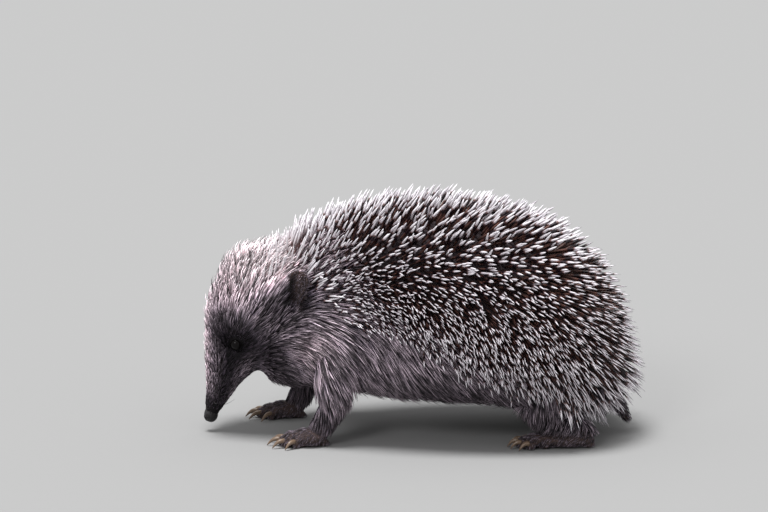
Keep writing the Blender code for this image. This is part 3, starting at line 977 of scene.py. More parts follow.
def nakedness(points):
    """How bare the skin of feet, ears and tail is."""
    feet = between(11.0, 5.0, points[:, 2]) * (from_nose(points) > 14)
    tail = between(7.5, 5.5, tail_distance(points))
    ears = between(2.0, 0.6, ear_gap(points))
    return np.maximum(feet, 0.8 * np.maximum(ears, tail))


give(skin, "tone", markings_and_painted_shade(points_of(skin)))
give(skin, "naked", nakedness(points_of(skin)))

# ---------------------------------------------------------------- roots of the coat

rng = np.random.default_rng(COAT_SEED)


def unwrapped(obj):
    bpy.context.view_layer.objects.active = obj
    obj.select_set(True)
    obj.data.uv_layers.new(name="OFBake")
    bpy.ops.object.mode_set(mode="EDIT")
    bpy.ops.mesh.select_all(action="SELECT")
    bpy.ops.uv.smart_project(angle_limit=math.radians(70), island_margin=0.001)
    bpy.ops.object.mode_set(mode="OBJECT")
    obj.select_set(False)


unwrapped(skin)


class Roots:
    """Random places on the skin with the normal and the place on the unwrap."""

    def __init__(self, obj, wanted, density):
        """Draws the wanted number of places, more of them where density is higher."""
        mesh = obj.data
        mesh.calc_loop_triangles()
        count = len(mesh.loop_triangles)
        corners, loops = np.empty(count * 3, np.int32), np.empty(count * 3, np.int32)
        mesh.loop_triangles.foreach_get("vertices", corners)
        mesh.loop_triangles.foreach_get("loops", loops)
        uv = np.empty(len(mesh.loops) * 2, np.float32)
        mesh.uv_layers["OFBake"].data.foreach_get("uv", uv)
        points, normals = points_of(obj), normals_of(obj)
        corners, loops, uv = corners.reshape(-1, 3), loops.reshape(-1, 3), uv.reshape(-1, 2)
        tri = points[corners]
        area = np.linalg.norm(np.cross(tri[:, 1] - tri[:, 0], tri[:, 2] - tri[:, 0]), axis=1) / 2
        weight = area * density(tri.mean(1))
        chosen = rng.choice(count, wanted, p=weight / weight.sum())
        share = rng.random((wanted, 2))
        share = np.where(share.sum(1, keepdims=True) > 1, 1 - share, share)
        share = np.column_stack([1 - share.sum(1), share])[:, :, None]
        self.points = (tri[chosen] * share).sum(1)
        self.normals = unit((normals[corners[chosen]] * share).sum(1))
        self.uv = (uv[loops[chosen]] * share).sum(1)

    def only(self, keep):
        self.points, self.normals, self.uv = self.points[keep], self.normals[keep], self.uv[keep]
        return self


def point_tree(points):
    tree = KDTree(len(points))
    for i, point in enumerate(points):
        tree.insert(point, i)
    tree.balance()
    return tree


def spread_out(points, spacing):
    """Indices of points that keep their distance from each other, first come first served."""
    tree = point_tree(points)
    free = np.ones(len(points), bool)
    kept = []
    for i, point in enumerate(points):
        if free[i]:
            kept.append(i)
            for _, other, _ in tree.find_range(point, spacing[i]):
                free[other] = False
    return np.array(kept)


def ways_at(points, table, reach):
    """Directions blended from a table of places and ways."""
    p = mirrored(points)
    right = points[:, 1] > 0
    step = np.where(p[:, 0] < 0, RIGHT_FORE_STEP, RIGHT_HIND_STEP) * between(30, 14, p[:, 2]) * right
    p = p - np.column_stack([step, 0 * step, 0 * step])
    total = np.zeros(points.shape)
    for row in np.array(table, float):
        away = np.linalg.norm(p - row[:3], axis=1)
        total += np.exp(-((away / reach) ** 2) / 2)[:, None] * unit(row[3:]) + 1e-9
    total[:, 1] *= np.sign(points[:, 1]) * between(0, 16, np.abs(points[:, 1]))
    return unit(total)


def swirl(points, size, seed):
    """Smooth random vectors over space, about one in length."""
    own = np.random.default_rng(seed)
    total = np.zeros(points.shape)
    for k in range(6):
        turn = unit(own.normal(size=3)) * 2 * math.pi / (size * (0.6 + 0.2 * k))
        total += np.sin(points @ turn + own.random() * 6.3)[:, None] * unit(own.normal(size=3))
    return total / 1.7


# ---------------------------------------------------------------- strands


def strand_faces(rings, sides):
    """Triangles of one closed strand: its wall, its point and its foot."""
    faces = []
    for k in range(rings - 1):
        for j in range(sides):
            low, high, turn = k * sides, (k + 1) * sides, (j + 1) % sides
            faces.extend([(low + j, high + j, low + turn), (low + turn, high + j, high + turn)])
    last, point = (rings - 1) * sides, rings * sides
    faces.extend((last + j, point, last + (j + 1) % sides) for j in range(sides))
    faces.extend((0, j, j + 1) for j in range(1, sides - 1))
    return np.array(faces)


def strands(name, paths, radii, sides, uv):
    """Tapered closed strands as one mesh; paths is (strand, stop, xyz), radii is (strand, stop)."""
    count, rings = len(paths), paths.shape[1] - 1
    ahead = unit(paths[:, 1] - paths[:, 0])
    helper = np.where(np.abs(ahead[:, 2:3]) > 0.9, np.array((1.0, 0, 0)), np.array((0, 0, 1.0)))
    across = unit(np.cross(ahead, helper))
    up = np.cross(across, ahead)
    a = np.linspace(0, 2 * math.pi, sides, endpoint=False)
    circle = np.cos(a)[None, :, None] * across[:, None] - np.sin(a)[None, :, None] * up[:, None]
    walls = paths[:, :-1, None] + circle[:, None] * radii[:, :-1, None, None]
    points = np.concatenate([walls.reshape(count, -1, 3), paths[:, -1:]], 1)
    size = points.shape[1]
    corners = strand_faces(rings, sides)[None] + (np.arange(count) * size)[:, None, None]
    corners = corners.reshape(-1)
    mesh = bpy.data.meshes.new(name)
    mesh.vertices.add(count * size)
    mesh.vertices.foreach_set("co", (points * MM).astype(np.float32).ravel())
    mesh.loops.add(len(corners))
    mesh.loops.foreach_set("vertex_index", corners.astype(np.int32))
    mesh.polygons.add(len(corners) // 3)
    mesh.polygons.foreach_set("loop_start", np.arange(0, len(corners), 3, dtype=np.int32))
    mesh.update(calc_edges=True)
    mesh.polygons.foreach_set("use_smooth", np.ones(len(corners) // 3, bool))
    along = np.append(np.repeat(np.linspace(0, 1, rings + 1)[:-1], sides), 1.0)
    around = np.append(np.tile(np.arange(sides) / sides, rings), 0.5)
    patch = np.column_stack([along, around]) * STRAND_PATCH
    layer = mesh.uv_layers.new(name="OFBake")
    placed_uv = (uv[:, None] + patch[None]).reshape(-1, 2)[corners]
    layer.data.foreach_set("uv", placed_uv.astype(np.float32).ravel())
    return linked(name, mesh)


def coat_pieces(names, paths, radii, sides, uv, values, stops=None, bands=1.0):
    """Strands dealt out over pieces, with their values and the place along each strand."""
    if stops is None:
        stops = np.linspace(0, 1, paths.shape[1])[:-1]
    along = np.append(np.repeat(stops, sides), 1.0)
    bands = np.broadcast_to(bands, len(paths))
    pieces = []
    for k, name in enumerate(names):
        part = slice(k, None, len(names))
        piece = strands(name, paths[part], radii[part], sides, uv[part])
        give(piece, "along", (1 - np.outer(bands[part], 1 - along)).ravel())
        for key, value in values.items():
            give(piece, key, np.repeat(value[part], len(along)))
        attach(piece, "root")
        pieces.append(piece)
    return pieces


# ---------------------------------------------------------------- spines


def spine_ground(points):
    """1 where spines may grow: the mantle without ears, legs and tail."""
    raised = 15.0 * between(-45.0, -8.0, points[:, 0]) * between(82.0, 40.0, points[:, 0])
    share = np.maximum(mantle_share(points, softness=8.0, shift=raised), brow_share(points))
    share *= (points[:, 2] > 12) * (from_ear(points) > 6.2) * (ear_gap(points) > 1.8)
    return share * (on_limb(points) < 0.3) * (tail_distance(points) > 7.5)


def facing_up(normals):
    """0 on the flanks, 1 on top of the back."""
    return between(0.2, 0.85, normals[:, 2])


def spine_roots():
    found = Roots(skin, SPINE_SEEDS, spine_ground)
    x, upward = found.points[:, 0], facing_up(found.normals)
    apart = mixed(SPINE_SPACING, TOP_SPACING, np.maximum(upward, between(60, 85, x)))
    apart = mixed(apart, NAPE_SPACING, upward * between(-30, -42, x))
    apart = mixed(apart, CROWN_SPACING, between(-54, -72, x))
    return found.only(spread_out(found.points, apart))


def spine_ways(points, normals):
    """Way of each spine, never too flat against the skin."""
    way = ways_at(points + normals * 10, SPINE_WAYS, SPINE_WAY_REACH)
    way = unit(way + 0.1 * swirl(points, 9.0, 3) + 0.16 * rng.normal(size=points.shape))
    rise = np.sum(way * normals, 1)
    least = mixed(0.55, 0.78, between(25, 50, points[:, 2]))
    least = mixed(least, 0.4, brow_share(points) * between(0.35, 0.8, np.abs(normals[:, 1])))
    return unit(way + normals * np.maximum(least - rise, 0)[:, None] * 1.5)


def spine_lengths(points, normals, way):
    """Length that brings each tip to the surface of the solids, longer on hips and nape."""
    x, _, z = points.T
    upward = facing_up(normals)
    reach = torso_depth(points, normals) / np.maximum(np.sum(way * normals, 1), 0.4)
    hips = between(35, 75, x) * between(10, 30, z)
    length = np.clip(reach * (1 + 0.2 * hips), 13.0 + 2.5 * hips, 20.0 + 2.0 * hips)
    length = mixed(length, np.clip(reach, 11.5, 16.0), between(-34, -64, x))
    length += (3.5 * hump(x, -61.0, 7.0) + 0.5 * hump(x, -50.0, 8.0)) * upward
    return length * (1 + mixed(0.08, 0.2, upward) * rng.uniform(-1.0, 0.8, len(points)))


def grow_spines():
    """The spines of back, flanks and brow, with their bands."""
    found = spine_roots()
    points, normals = found.points, found.normals
    x, _, z = points.T
    count, upward = len(points), facing_up(normals)
    forehead, nape, rump = between(-50, -70, x), between(-28, -50, x), between(45, 75, x)
    way = spine_ways(points, normals)
    length = spine_lengths(points, normals, way)
    stops = np.array(SPINE_STOPS + (1.0,))
    bend = unit(np.cross(normals, way) * rng.normal(size=(count, 1)) + (0, 0, -0.6))
    along = length[:, None] * stops
    paths = points[:, None] - way[:, None] * SPINE_FOOT + way[:, None] * along[:, :, None]
    paths += bend[:, None] * (SPINE_BEND * length[:, None] * stops**2)[:, :, None]
    thick = mixed(mixed(SPINE_RADIUS, TOP_SPINE_RADIUS, upward), CROWN_SPINE_RADIUS, forehead)
    thick *= rng.uniform(0.85, 1.15, count)
    thick *= mixed(1.0, 0.75, 1 - mantle_share(points, softness=12.0, shift=3.0))
    radii = thick[:, None] * np.array(SPINE_THICKNESS + (0.0,))
    low_behind = mixed(BANDS_ON_SIDE, BANDS_LOW_BEHIND, between(62, 42, z))
    banded = mixed(mixed(BANDS_ON_SIDE, BANDS_ON_TOP, upward), BANDS_AT_NAPE, nape)
    banded = mixed(banded, low_behind, rump)
    seed = rng.random(count)
    # Tips dulled at random, plus painted light: tips facing up and on the nape are kept bright, those on
    # the flanks get painted shade
    dull_and_toplight = rng.random(count) * mixed(0.45, 1.0, np.maximum(between(0.4, 0.9, normals[:, 2]), nape))
    values = {"seed": seed, "crown": forehead, "dull_and_toplight": mixed(dull_and_toplight, 1.0, 0.4 * nape)}
    names = [f"spines_{k + 1}" for k in range(SPINE_PIECES)]
    stops, bands = np.array(SPINE_STOPS), length / banded
    pieces = coat_pieces(names, paths, radii, SPINE_SIDES, found.uv, values, stops, bands)
    return pieces


spine_pieces = grow_spines()

# ---------------------------------------------------------------- hair


def hair_density(points):
    """Hairs for each unit of skin: many on the face, fewer under the belly, none under spines."""
    x, y, z = mirrored(points).T
    nose, eye = from_nose(points), from_eye(points)
    head = (1.5, between(-48, -60, x))
    muzzle = (3.2, between(38, 14, nose))
    round_eye = (3.4, between(12, 8, eye))
    tail = (2.4, between(11, 7, tail_distance(points)))
    feet = (2.0, between(12, 7, z))
    ears = (3.2, between(2.0, 0.8, ear_gap(points)))
    belly_to_flank = mixed(0.45, 1.0, between(12, 34, y))
    density = layered(belly_to_flank, (head, muzzle, round_eye, tail, feet, ears))
    density *= mixed(1.0, 0.0, mantle_share(points, softness=14.0, shift=20.0))
    return density * ((eye > 3.4) * (z > 1.6) * (nose > 4.9))


def hair_length(points):
    """Longer with the distance from the nose, and short on tail, lids, legs, feet and ears."""
    x, y, z = mirrored(points).T
    length = read_off(HAIR_LENGTHS, from_nose(points))
    low = hump(x, -70.0, 9.0, 4) * between(30.0, 15.0, y)
    brow = (13.5 - 3.5 * low, between(52, 70, z) * between(-62, -76, x))
    tail = (3.0, between(11, 7, tail_distance(points)))
    eyes = (1.6, between(10, 3.4, from_eye(points)))
    legs = (7.5, between(34, 18, z) * on_limb(points))
    feet = (2.2, between(13, 6, z) * (x > -86))
    length = layered(length, (brow, tail, eyes, legs, feet))
    length = np.minimum(length, read_off(LONGEST_BY_EAR, from_ear(points)))
    return mixed(length, 1.5, between(2.0, 0.8, ear_gap(points)))


def face_line(points, normals):
    """1 along the front of the face, from the muzzle up to the brow."""
    x, _, z = points.T
    share = between(0.3, 0.8, -normals[:, 0]) * between(18, 34, z) * between(-78, -88, x)
    return share * mixed(0.3, 1.0, between(72, 56, z))


def hair_ways(points, normals, brow):
    """Way of each hair along the skin, calmer on the brow."""
    way = ways_at(points, HAIR_WAYS, HAIR_WAY_REACH)
    way = way - normals * np.sum(way * normals, 1, keepdims=True)
    calm = 1 - 0.6 * brow[:, None]
    way = unit(way + calm * (0.10 * swirl(points, 14.0, 5) + 0.06 * rng.normal(size=points.shape)))
    return unit(way - normals * np.sum(way * normals, 1, keepdims=True))


def hair_lift(points, normals, brow):
    """How steeply hair leaves the skin: flat on the face, upright on the brow."""
    lift = read_off(HAIR_LIFTS, from_nose(points))
    lift = lift + 0.25 * mantle_share(points, softness=14.0, shift=2.0)
    lift = mixed(lift, mixed(1.35, 0.3, between(0.35, 0.8, np.abs(normals[:, 1]))), brow)
    lift += 0.5 * face_line(points, normals)
    return mixed(lift, 0.3, on_limb(points)) * rng.uniform(0.75, 1.25, len(points))


def hair_paths(points, normals, way, length, lift):
    """Each hair rises, levels off, wavers and hangs a little."""
    size = (len(points), 1)
    share = np.linspace(0, 1, len(HAIR_THICKNESS))[None, :, None]
    wave = rng.normal(size=size) * np.cross(normals, way) + 0.4 * rng.normal(size=size) * normals
    lift, length = lift[:, None, None], length[:, None, None]
    ahead = way[:, None] * share * (1 - 0.12 * lift)
    rise = normals[:, None] * (lift * (1.25 * share - 0.62 * share**2))
    sag = np.array((0, 0, -0.08)) * share**2
    roots = points[:, None] - normals[:, None] * np.minimum(0.3, 0.07 * length)
    return roots + length * (ahead + rise + wave[:, None] * 0.035 * share**2 + sag)


def clumped(paths, points, length, share):
    """Hairs drawn together towards their tips into locks."""
    guides = spread_out(points, read_off(LOCK_SPACING, length))
    tree = point_tree(points[guides])
    own = np.array([guides[tree.find(point)[1]] for point in points])
    stops = np.linspace(0, 1, paths.shape[1])
    pull = LOCK_PULL * stops**1.2 * rng.uniform(0.35, 1.0, (len(points), 1)) * share[:, None]
    scale = (length / length[own])[:, None, None]
    target = points[own][:, None] + (paths[own] - points[own][:, None]) * scale
    return mixed(paths, target, pull[:, :, None]), own


def grow_hair():
    """The hair of face, flanks, legs, ears and tail, drawn into locks."""
    found = Roots(skin, HAIR_COUNT, hair_density)
    points, normals = found.points, found.normals
    brow = between(50, 78, points[:, 2]) * between(-62, -76, points[:, 0])
    way = hair_ways(points, normals, brow)
    length = hair_length(points) * rng.uniform(0.7, 1.12, HAIR_COUNT)
    length *= 1 + 0.3 * face_line(points, normals)
    lift = hair_lift(points, normals, brow)
    paths = hair_paths(points, normals, way, length, lift)
    paths, lock = clumped(paths, points, length, 1 - 0.75 * brow)
    paths[:, :, 2] = np.maximum(paths[:, :, 2], GROUND_GAP)
    thick = read_off(HAIR_RADII, length)
    thick *= rng.uniform(0.8, 1.25, HAIR_COUNT)
    thick *= 1 + 0.5 * brow
    radii = thick[:, None] * np.array(HAIR_THICKNESS)
    seed = 0.75 * rng.random(HAIR_COUNT) + 0.25 * rng.random(HAIR_COUNT)[lock]
    names = [f"hair_{k + 1}" for k in range(HAIR_PIECES)]
    values = {"seed": seed, "tone": markings_and_painted_shade(points)}
    pieces = coat_pieces(names, paths, radii, HAIR_SIDES, found.uv, values)
    return pieces


hair_pieces = grow_hair()

# ---------------------------------------------------------------- eyes, nose, claws, whiskers


def make_eyes():
    pieces = []
    for side, eye in EYES.items():
        piece = round_piece(f"eyeball_{side}", 40, 56, lambda ways, eye=eye: eye + ways * EYE_RADIUS)
        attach(piece, "root")
        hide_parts("eye_" + side)
        pieces.append(piece)
    return pieces


def nose_shape(ways):
    """Moist pad with a groove in the middle and two comma-shaped nostrils."""
    points = ways * NOSE_SIZE / 2 * (1.02, 1.02, 1.0)
    front = between(0.0, 0.5, -ways[:, 0] - 0.35 * ways[:, 2])
    push = -0.42 * hump(ways[:, 1], 0.0, 0.1) * front
    for side in (-1, 1):
        hole = unit(np.array((-0.72, side * 0.5, -0.42)))
        away = np.linalg.norm(ways - hole, axis=1)
        slit = np.linalg.norm((ways - unit(hole + (0.25, side * 0.3, 0.12))) * (1.0, 1.0, 2.4), axis=1)
        push += -1.25 * hump(away, 0.0, 0.17) - 0.55 * hump(slit, 0.0, 0.2)
        push += 0.28 * hump(away, 0.36, 0.13)
    return NOSE + points + ways * push[:, None]


def make_nose():
    piece = round_piece("nose_skin", 90, 120, nose_shape)
    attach(piece, "root")
    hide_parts("nose_pad")
    return piece


def claw_form(ground, ahead, reach, long):
    """A claw that leaves the toe level and curves down to the ground."""
    stops = np.linspace(0, 1, CLAW_STOPS)
    height = CLAW_HEIGHT - CLAW_DROP * stops**2 + 0.5 * np.sin(stops * math.pi)
    toe = ground + ahead * (reach + 0.9)
    path = toe + ahead * (long * stops)[:, None] + np.array((0, 0, 1.0)) * height[:, None]
    return tube("claw", path, CLAW_RADIUS * (1 - stops**1.8) + CLAW_POINT, 14)


def make_claws():
    pieces = []
    for end, long in (("fore", FORE_CLAW), ("hind", HIND_CLAW)):
        toes = [toe for side in SIDES for toe in toes_of(end, side)]
        forms = [claw_form(ground, ahead, reach, long) for ground, ahead, reach, _ in toes]
        piece = joined(forms, f"claws_{end}")
        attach(piece, "root")
        pieces.append(piece)
    return pieces


def bowed(root, way, long, bow):
    """Path of a whisker, straight at its root and bowed towards its tip."""
    stops = np.linspace(0, 1, WHISKER_STOPS)[:, None]
    return root + long * (stops * way + stops**2 * bow)


def muzzle_whiskers(tree, side):
    """Whiskers of one side of the muzzle, in rows that lean back with it."""
    x, z = FIRST_WHISKER
    back, above = WHISKER_GAPS
    for k in range(WHISKERS):
        row, place = divmod(k, WHISKER_ROW)
        height = z + above * place + rng.uniform(-0.5, 0.5)
        root, _ = side_hit(tree, x + 0.16 * (height - 10) + back * row, height, side)
        if root is None:
            continue
        way = np.array((-0.15 + 0.25 * row, side * 0.95, 0.15 + 0.05 * place))
        way = unit(way + 0.12 * rng.normal(size=3))
        long = rng.uniform(*WHISKER_LENGTHS)
        bow = np.array((0.25, 0.0, 0.45)) * rng.uniform(0.5, 1.0)
        yield bowed(root - way * 0.5, way, long, bow * 0.5)


def brow_whiskers(tree, side):
    """Whiskers over one eye."""
    x, z = FIRST_BROW_WHISKER
    back, above = BROW_WHISKER_GAPS
    for k in range(BROW_WHISKERS):
        root, _ = side_hit(tree, x + back * k, z + above * k, side)
        way = unit(np.array((-0.3 + 0.3 * k, side * 0.8, 0.6)))
        yield bowed(root, way, rng.uniform(*BROW_WHISKER_LENGTHS), np.array((0.2, 0, 0.2)))


def make_whiskers():
    """Whiskers in rows on both sides of the muzzle, and a few over each eye."""
    tree = BVHTree.FromObject(skin, bpy.context.evaluated_depsgraph_get())
    taper = 1 - np.linspace(0, 1, WHISKER_STOPS) * WHISKER_TAPER
    paths, radii = [], []
    for side in (-1, 1):
        for grow, thick in ((muzzle_whiskers, WHISKER_RADIUS), (brow_whiskers, BROW_WHISKER_RADIUS)):
            for path in grow(tree, side):
                paths.append(path)
                radii.append(thick * taper)
    uv = 0.1 + 0.8 * rng.random((len(paths), 2))
    seed = {"seed": rng.random(len(paths))}
    (piece,) = coat_pieces(["whiskers"], np.array(paths), np.array(radii), WHISKER_SIDES, uv, seed)
    return piece


eye_pieces = make_eyes()
nose_piece = make_nose()
claw_pieces = make_claws()
whisker_piece = make_whiskers()

# ---------------------------------------------------------------- materials

# Colours along the length of a spine, from its root to its tip
BACK_BANDS = (
    (0.0, (0.07, 0.040, 0.034)),
    (0.25, (0.17, 0.085, 0.070)),
    (0.36, (0.12, 0.050, 0.038)),
    (0.44, (0.018, 0.009, 0.013)),
    (0.60, (0.016, 0.008, 0.012)),
    (0.655, (0.19, 0.10, 0.09)),
    (0.70, (0.72, 0.66, 0.70)),
    (0.85, (0.93, 0.90, 0.94)),
    (1.0, (0.93, 0.91, 0.95)),
)
BROW_BANDS = (
    (0.0, (0.10, 0.065, 0.06)),
    (0.3, (0.36, 0.23, 0.22)),
    (0.45, (0.15, 0.075, 0.070)),
    (0.53, (0.24, 0.13, 0.125)),
    (0.62, (0.84, 0.77, 0.80)),
    (1.0, (0.95, 0.92, 0.95)),
)
# Darkening of spine colour: random dulling, and painted shade on the flanks against painted light on top
# and at the nape
DULL_AND_TOPLIGHT = ((0.0, (0.5, 0.48, 0.5)), (0.4, (0.84, 0.83, 0.84)), (1.0, (1.0, 1.0, 1.0)))

# Colours of hair tips from the black of the mask to the pale brow
FUR_TIPS = (
    (0.0, (0.012, 0.009, 0.013)),
    (0.2, (0.065, 0.050, 0.066)),
    (0.4, (0.25, 0.205, 0.236)),
    (0.5, (0.54, 0.445, 0.505)),
    (0.62, (0.72, 0.60, 0.65)),
    (1.0, (0.97, 0.89, 0.92)),
)
# Hair darkens towards its root: partly its own dark base, partly painted shade deep in the coat
ROOT_SHADE = ((0.5, (0.09, 0.085, 0.125)), (0.85, (0.28, 0.18, 0.18)))
TOWARDS_TIP = ((0.1, (0, 0, 0)), (0.5, (0.4, 0.4, 0.4)), (0.9, (1, 1, 1)))
HAIR_LIGHT = (
    (0.15, (0.12, 0.12, 0.12)),
    (0.42, (0.5, 0.5, 0.5)),
    (0.62, (1.3, 1.3, 1.3)),
    (0.9, (3.0, 3.0, 3.0)),
)

UNDER_COAT = (0.09, 0.08, 0.08, 1)
BARE_SKIN = ((0.3, (0.045, 0.030, 0.028)), (0.7, (0.105, 0.070, 0.064)))
BARE_SHADE = ((0.1, (0.14, 0.14, 0.14)), (0.4, (1.0, 1.0, 1.0)), (0.65, (1.8, 1.7, 1.7)))
CLAW_STREAKS = ((0.3, (0.10, 0.065, 0.045)), (0.7, (0.22, 0.15, 0.10)))
EYE_COLOUR = (0.004, 0.003, 0.003, 1)
NOSE_COLOUR = (0.012, 0.010, 0.011, 1)
WHISKER_COLOUR = (0.02, 0.014, 0.014, 1)
GRAIN_HEIGHT = 0.0002


class Graph:
    """Short hand for building shader nodes."""

    def __init__(self, tree):
        self.tree = tree

    def link(self, output, target):
        self.tree.links.new(output, target)

    def node(self, kind, values=None, **settings):
        made = self.tree.nodes.new("ShaderNode" + kind)
        for key, value in settings.items():
            setattr(made, key, value)
        for key, value in (values or {}).items():
            if isinstance(value, bpy.types.NodeSocket):
                self.link(value, made.inputs[key])
            else:
                made.inputs[key].default_value = value
        return made

    def math(self, operation, a, b):
        return self.node("Math", {0: a, 1: b}, operation=operation).outputs[0]

    def mix(self, share, a, b, blend="MIX"):
        colours = {0: share, 6: a, 7: b}
        return self.node("Mix", colours, data_type="RGBA", blend_type=blend).outputs[2]

    def ramp(self, share, stops):
        made = self.node("ValToRGB", {"Fac": share})
        ramp = made.color_ramp
        while len(ramp.elements) < len(stops):
            ramp.elements.new(0.5)
        for element, (position, colour) in zip(ramp.elements, stops):
            element.position = position
            element.color = (*colour, 1)
        return made.outputs[0]

    def attribute(self, name):
        return self.node("Attribute", attribute_name=name).outputs["Fac"]


def shader_group(name, inputs, outputs):
    group = bpy.data.node_groups.new(name, "ShaderNodeTree")
    for key, value in inputs.items():
        socket = group.interface.new_socket(key, in_out="INPUT", socket_type="NodeSocketFloat")
        socket.default_value = value
    for key, kind in outputs.items():
        group.interface.new_socket(key, in_out="OUTPUT", socket_type=kind)
    start, end = group.nodes.new("NodeGroupInput"), group.nodes.new("NodeGroupOutput")
    return Graph(group), start.outputs, end.inputs


def banded_horn():
    """Bands along a spine: pale root, dark band, pale tip, dulled at random and with painted shade on the
    flanks.
    """
    g, given, found = shader_group(
        "banded_horn",
        {"along": 0.0, "seed": 0.5, "crown": 0.0, "dull_and_toplight": 1.0},
        {"Color": "NodeSocketColor", "Roughness": "NodeSocketFloat"},
    )
    shift = g.math("MULTIPLY", g.math("SUBTRACT", given["seed"], 0.5), 0.12)
    place = g.math("ADD", given["along"], shift)
    colour = g.mix(given["crown"], g.ramp(place, BACK_BANDS), g.ramp(place, BROW_BANDS))
    # Multiplies in the random dulling and the painted shade and light of the tips
    g.link(g.mix(1.0, colour, g.ramp(given["dull_and_toplight"], DULL_AND_TOPLIGHT), "MULTIPLY"), found["Color"])
    g.link(g.math("ADD", g.math("MULTIPLY", given["seed"], 0.15), 0.3), found["Roughness"])
    return g.tree


def fur_colour():
    """Colour along a hair for the tone of its place."""
    inputs = {"along": 0.0, "tone": 0.5, "seed": 0.5}
    g, given, found = shader_group("fur_colour", inputs, {"Color": "NodeSocketColor"})
    tips = g.ramp(given["tone"], FUR_TIPS)
    # Roots darker than tips: partly the hair's own colour, partly painted shade deep in the coat
    roots = g.mix(1.0, tips, g.ramp(given["tone"], ROOT_SHADE), "MULTIPLY")
    colour = g.mix(g.ramp(given["along"], TOWARDS_TIP), roots, tips)
    g.link(g.mix(1.0, colour, g.ramp(given["seed"], HAIR_LIGHT), "MULTIPLY"), found["Color"])
    return g.tree


def hide_colour():
    """Skin under the coat and on ears, tail and feet."""
    outputs = {"Color": "NodeSocketColor", "Height": "NodeSocketFloat"}
    g, given, found = shader_group("hide", {"tone": 0.5, "naked": 0.0}, outputs)
    under = g.mix(1.0, g.ramp(given["tone"], FUR_TIPS), UNDER_COAT, "MULTIPLY")
    blotch = g.node("TexNoise", {"Scale": 160.0, "Detail": 4.0}).outputs["Fac"]
    bare = g.mix(1.0, g.ramp(blotch, BARE_SKIN), g.ramp(given["tone"], BARE_SHADE), "MULTIPLY")
    g.link(g.mix(given["naked"], under, bare), found["Color"])
    g.link(g.node("TexVoronoi", {"Scale": 1500.0}).outputs["Distance"], found["Height"])
    return g.tree


def material_with(name, roughness=0.5, specular=0.5, colour=None):
    material = bpy.data.materials.new(name)
    material.use_nodes = True
    shader = material.node_tree.nodes["Principled BSDF"]
    shader.inputs["Roughness"].default_value = roughness
    shader.inputs["Specular IOR Level"].default_value = specular
    if colour:
        shader.inputs["Base Color"].default_value = colour
    return material, Graph(material.node_tree), shader.inputs


def used(g, group, attributes):
    """A shader group in a material, fed with the values that the mesh holds."""
    made = g.tree.nodes.new("ShaderNodeGroup")
    made.node_tree = group
    for name in attributes:
        g.link(g.attribute(name), made.inputs[name])
    return made.outputs


def grained(g, surface, height, strength):
    grain = {"Strength": strength, "Distance": GRAIN_HEIGHT, "Height": height}
    g.link(g.node("Bump", grain).outputs["Normal"], surface["Normal"])


def spine_horn():
    material, g, surface = material_with("spine_horn")
    bands = used(g, banded_horn(), ("along", "seed", "crown", "dull_and_toplight"))
    g.link(bands["Color"], surface["Base Color"])
    g.link(bands["Roughness"], surface["Roughness"])
    return material


def fur():
    material, g, surface = material_with("fur", roughness=0.55, specular=0.35)
    hairs = used(g, fur_colour(), ("along", "tone", "seed"))
    g.link(hairs["Color"], surface["Base Color"])
    return material


def hide():
    material, g, surface = material_with("hide", roughness=0.6, specular=0.15)
    own = used(g, hide_colour(), ("tone", "naked"))
    g.link(own["Color"], surface["Base Color"])
    grained(g, surface, own["Height"], 0.5)
    return material


def eye_black():
    return material_with("eye_black", roughness=0.04, specular=0.12, colour=EYE_COLOUR)[0]


def nose_moist():
    material, g, surface = material_with("nose_moist", 0.28, 0.28, NOSE_COLOUR)
    grained(g, surface, g.node("TexVoronoi", {"Scale": 1700.0}).outputs["Distance"], 0.6)
    return material


def claw_horn():
    material, g, surface = material_with("claw_horn", roughness=0.35)
    streaks = g.node("TexNoise", {"Scale": 900.0, "Detail": 3.0}).outputs["Fac"]
    g.link(g.ramp(streaks, CLAW_STREAKS), surface["Base Color"])
    return material


def whisker_black():
    return material_with("whisker", roughness=0.4, colour=WHISKER_COLOUR)[0]


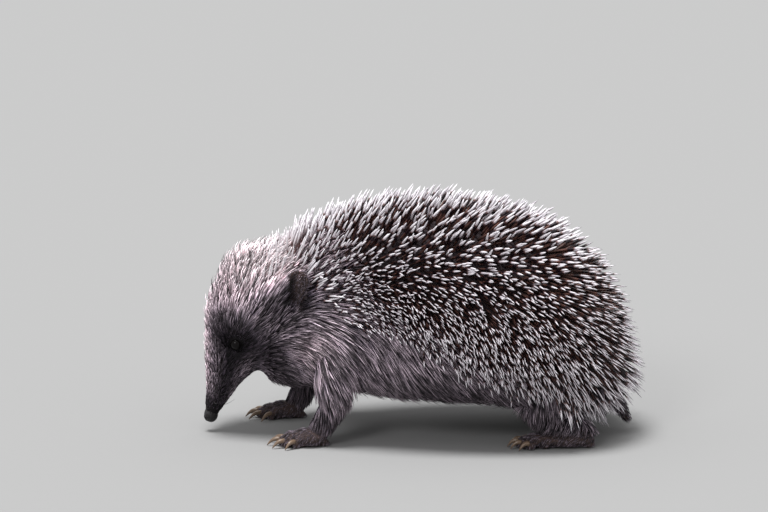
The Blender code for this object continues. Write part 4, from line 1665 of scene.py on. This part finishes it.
def dress(pieces, material):
    for piece in pieces:
        piece.data.materials.append(material)


dress(spine_pieces, spine_horn())
dress(hair_pieces, fur())
dress([skin], hide())
dress(eye_pieces, eye_black())
dress([nose_piece], nose_moist())
dress(claw_pieces, claw_horn())
dress([whisker_piece], whisker_black())

# ---------------------------------------------------------------- stage


def make_floor():
    mesh = bpy.data.meshes.new("floor")
    corners = [(x * FLOOR_REACH, y * FLOOR_REACH, 0) for x, y in ((-1, -1), (1, -1), (1, 1), (-1, 1))]
    mesh.from_pydata(corners, [], [(0, 1, 2, 3)])
    floor = linked("floor", mesh)
    shade = (FLOOR_SHADE, FLOOR_SHADE, FLOOR_SHADE, 1)
    dress([floor], material_with("pale_floor", roughness=1.0, specular=0.0, colour=shade)[0])


def facing(obj, way):
    """Turns a lamp or camera to look that way and puts it in the scene."""
    obj.rotation_euler = Vector(way).to_track_quat("-Z", "Y").to_euler()
    bpy.context.scene.collection.objects.link(obj)


def make_lights():
    """A pale room with one wide lamp from above and a weaker one from the side."""
    world = bpy.data.worlds.new("studio")
    world.use_nodes = True
    background = world.node_tree.nodes["Background"].inputs
    background["Color"].default_value = (1.0, 1.0, 1.0, 1)
    background["Strength"].default_value = STUDIO_LIGHT
    bpy.context.scene.world = world
    for name, way, spread, strength in LAMPS:
        light = bpy.data.lights.new(name, "SUN")
        light.angle = math.radians(spread)
        light.energy = strength
        facing(bpy.data.objects.new(name, light), way)


def make_camera():
    """Looks at the left side from a little above."""
    lens = bpy.data.cameras.new("camera")
    lens.lens = CAMERA_LENS
    lens.sensor_width = 36.0
    lens.clip_start = 0.1
    lens.clip_end = 100.0
    camera = bpy.data.objects.new("camera", lens)
    raised = math.radians(CAMERA_RAISED)
    aim = Vector(CAMERA_AIM)
    camera.location = aim + Vector((0, -math.cos(raised), math.sin(raised))) * CAMERA_AWAY
    facing(camera, aim - camera.location)
    bpy.context.scene.camera = camera
    bpy.context.scene.view_settings.view_transform = "Standard"


make_floor()
make_lights()
make_camera()
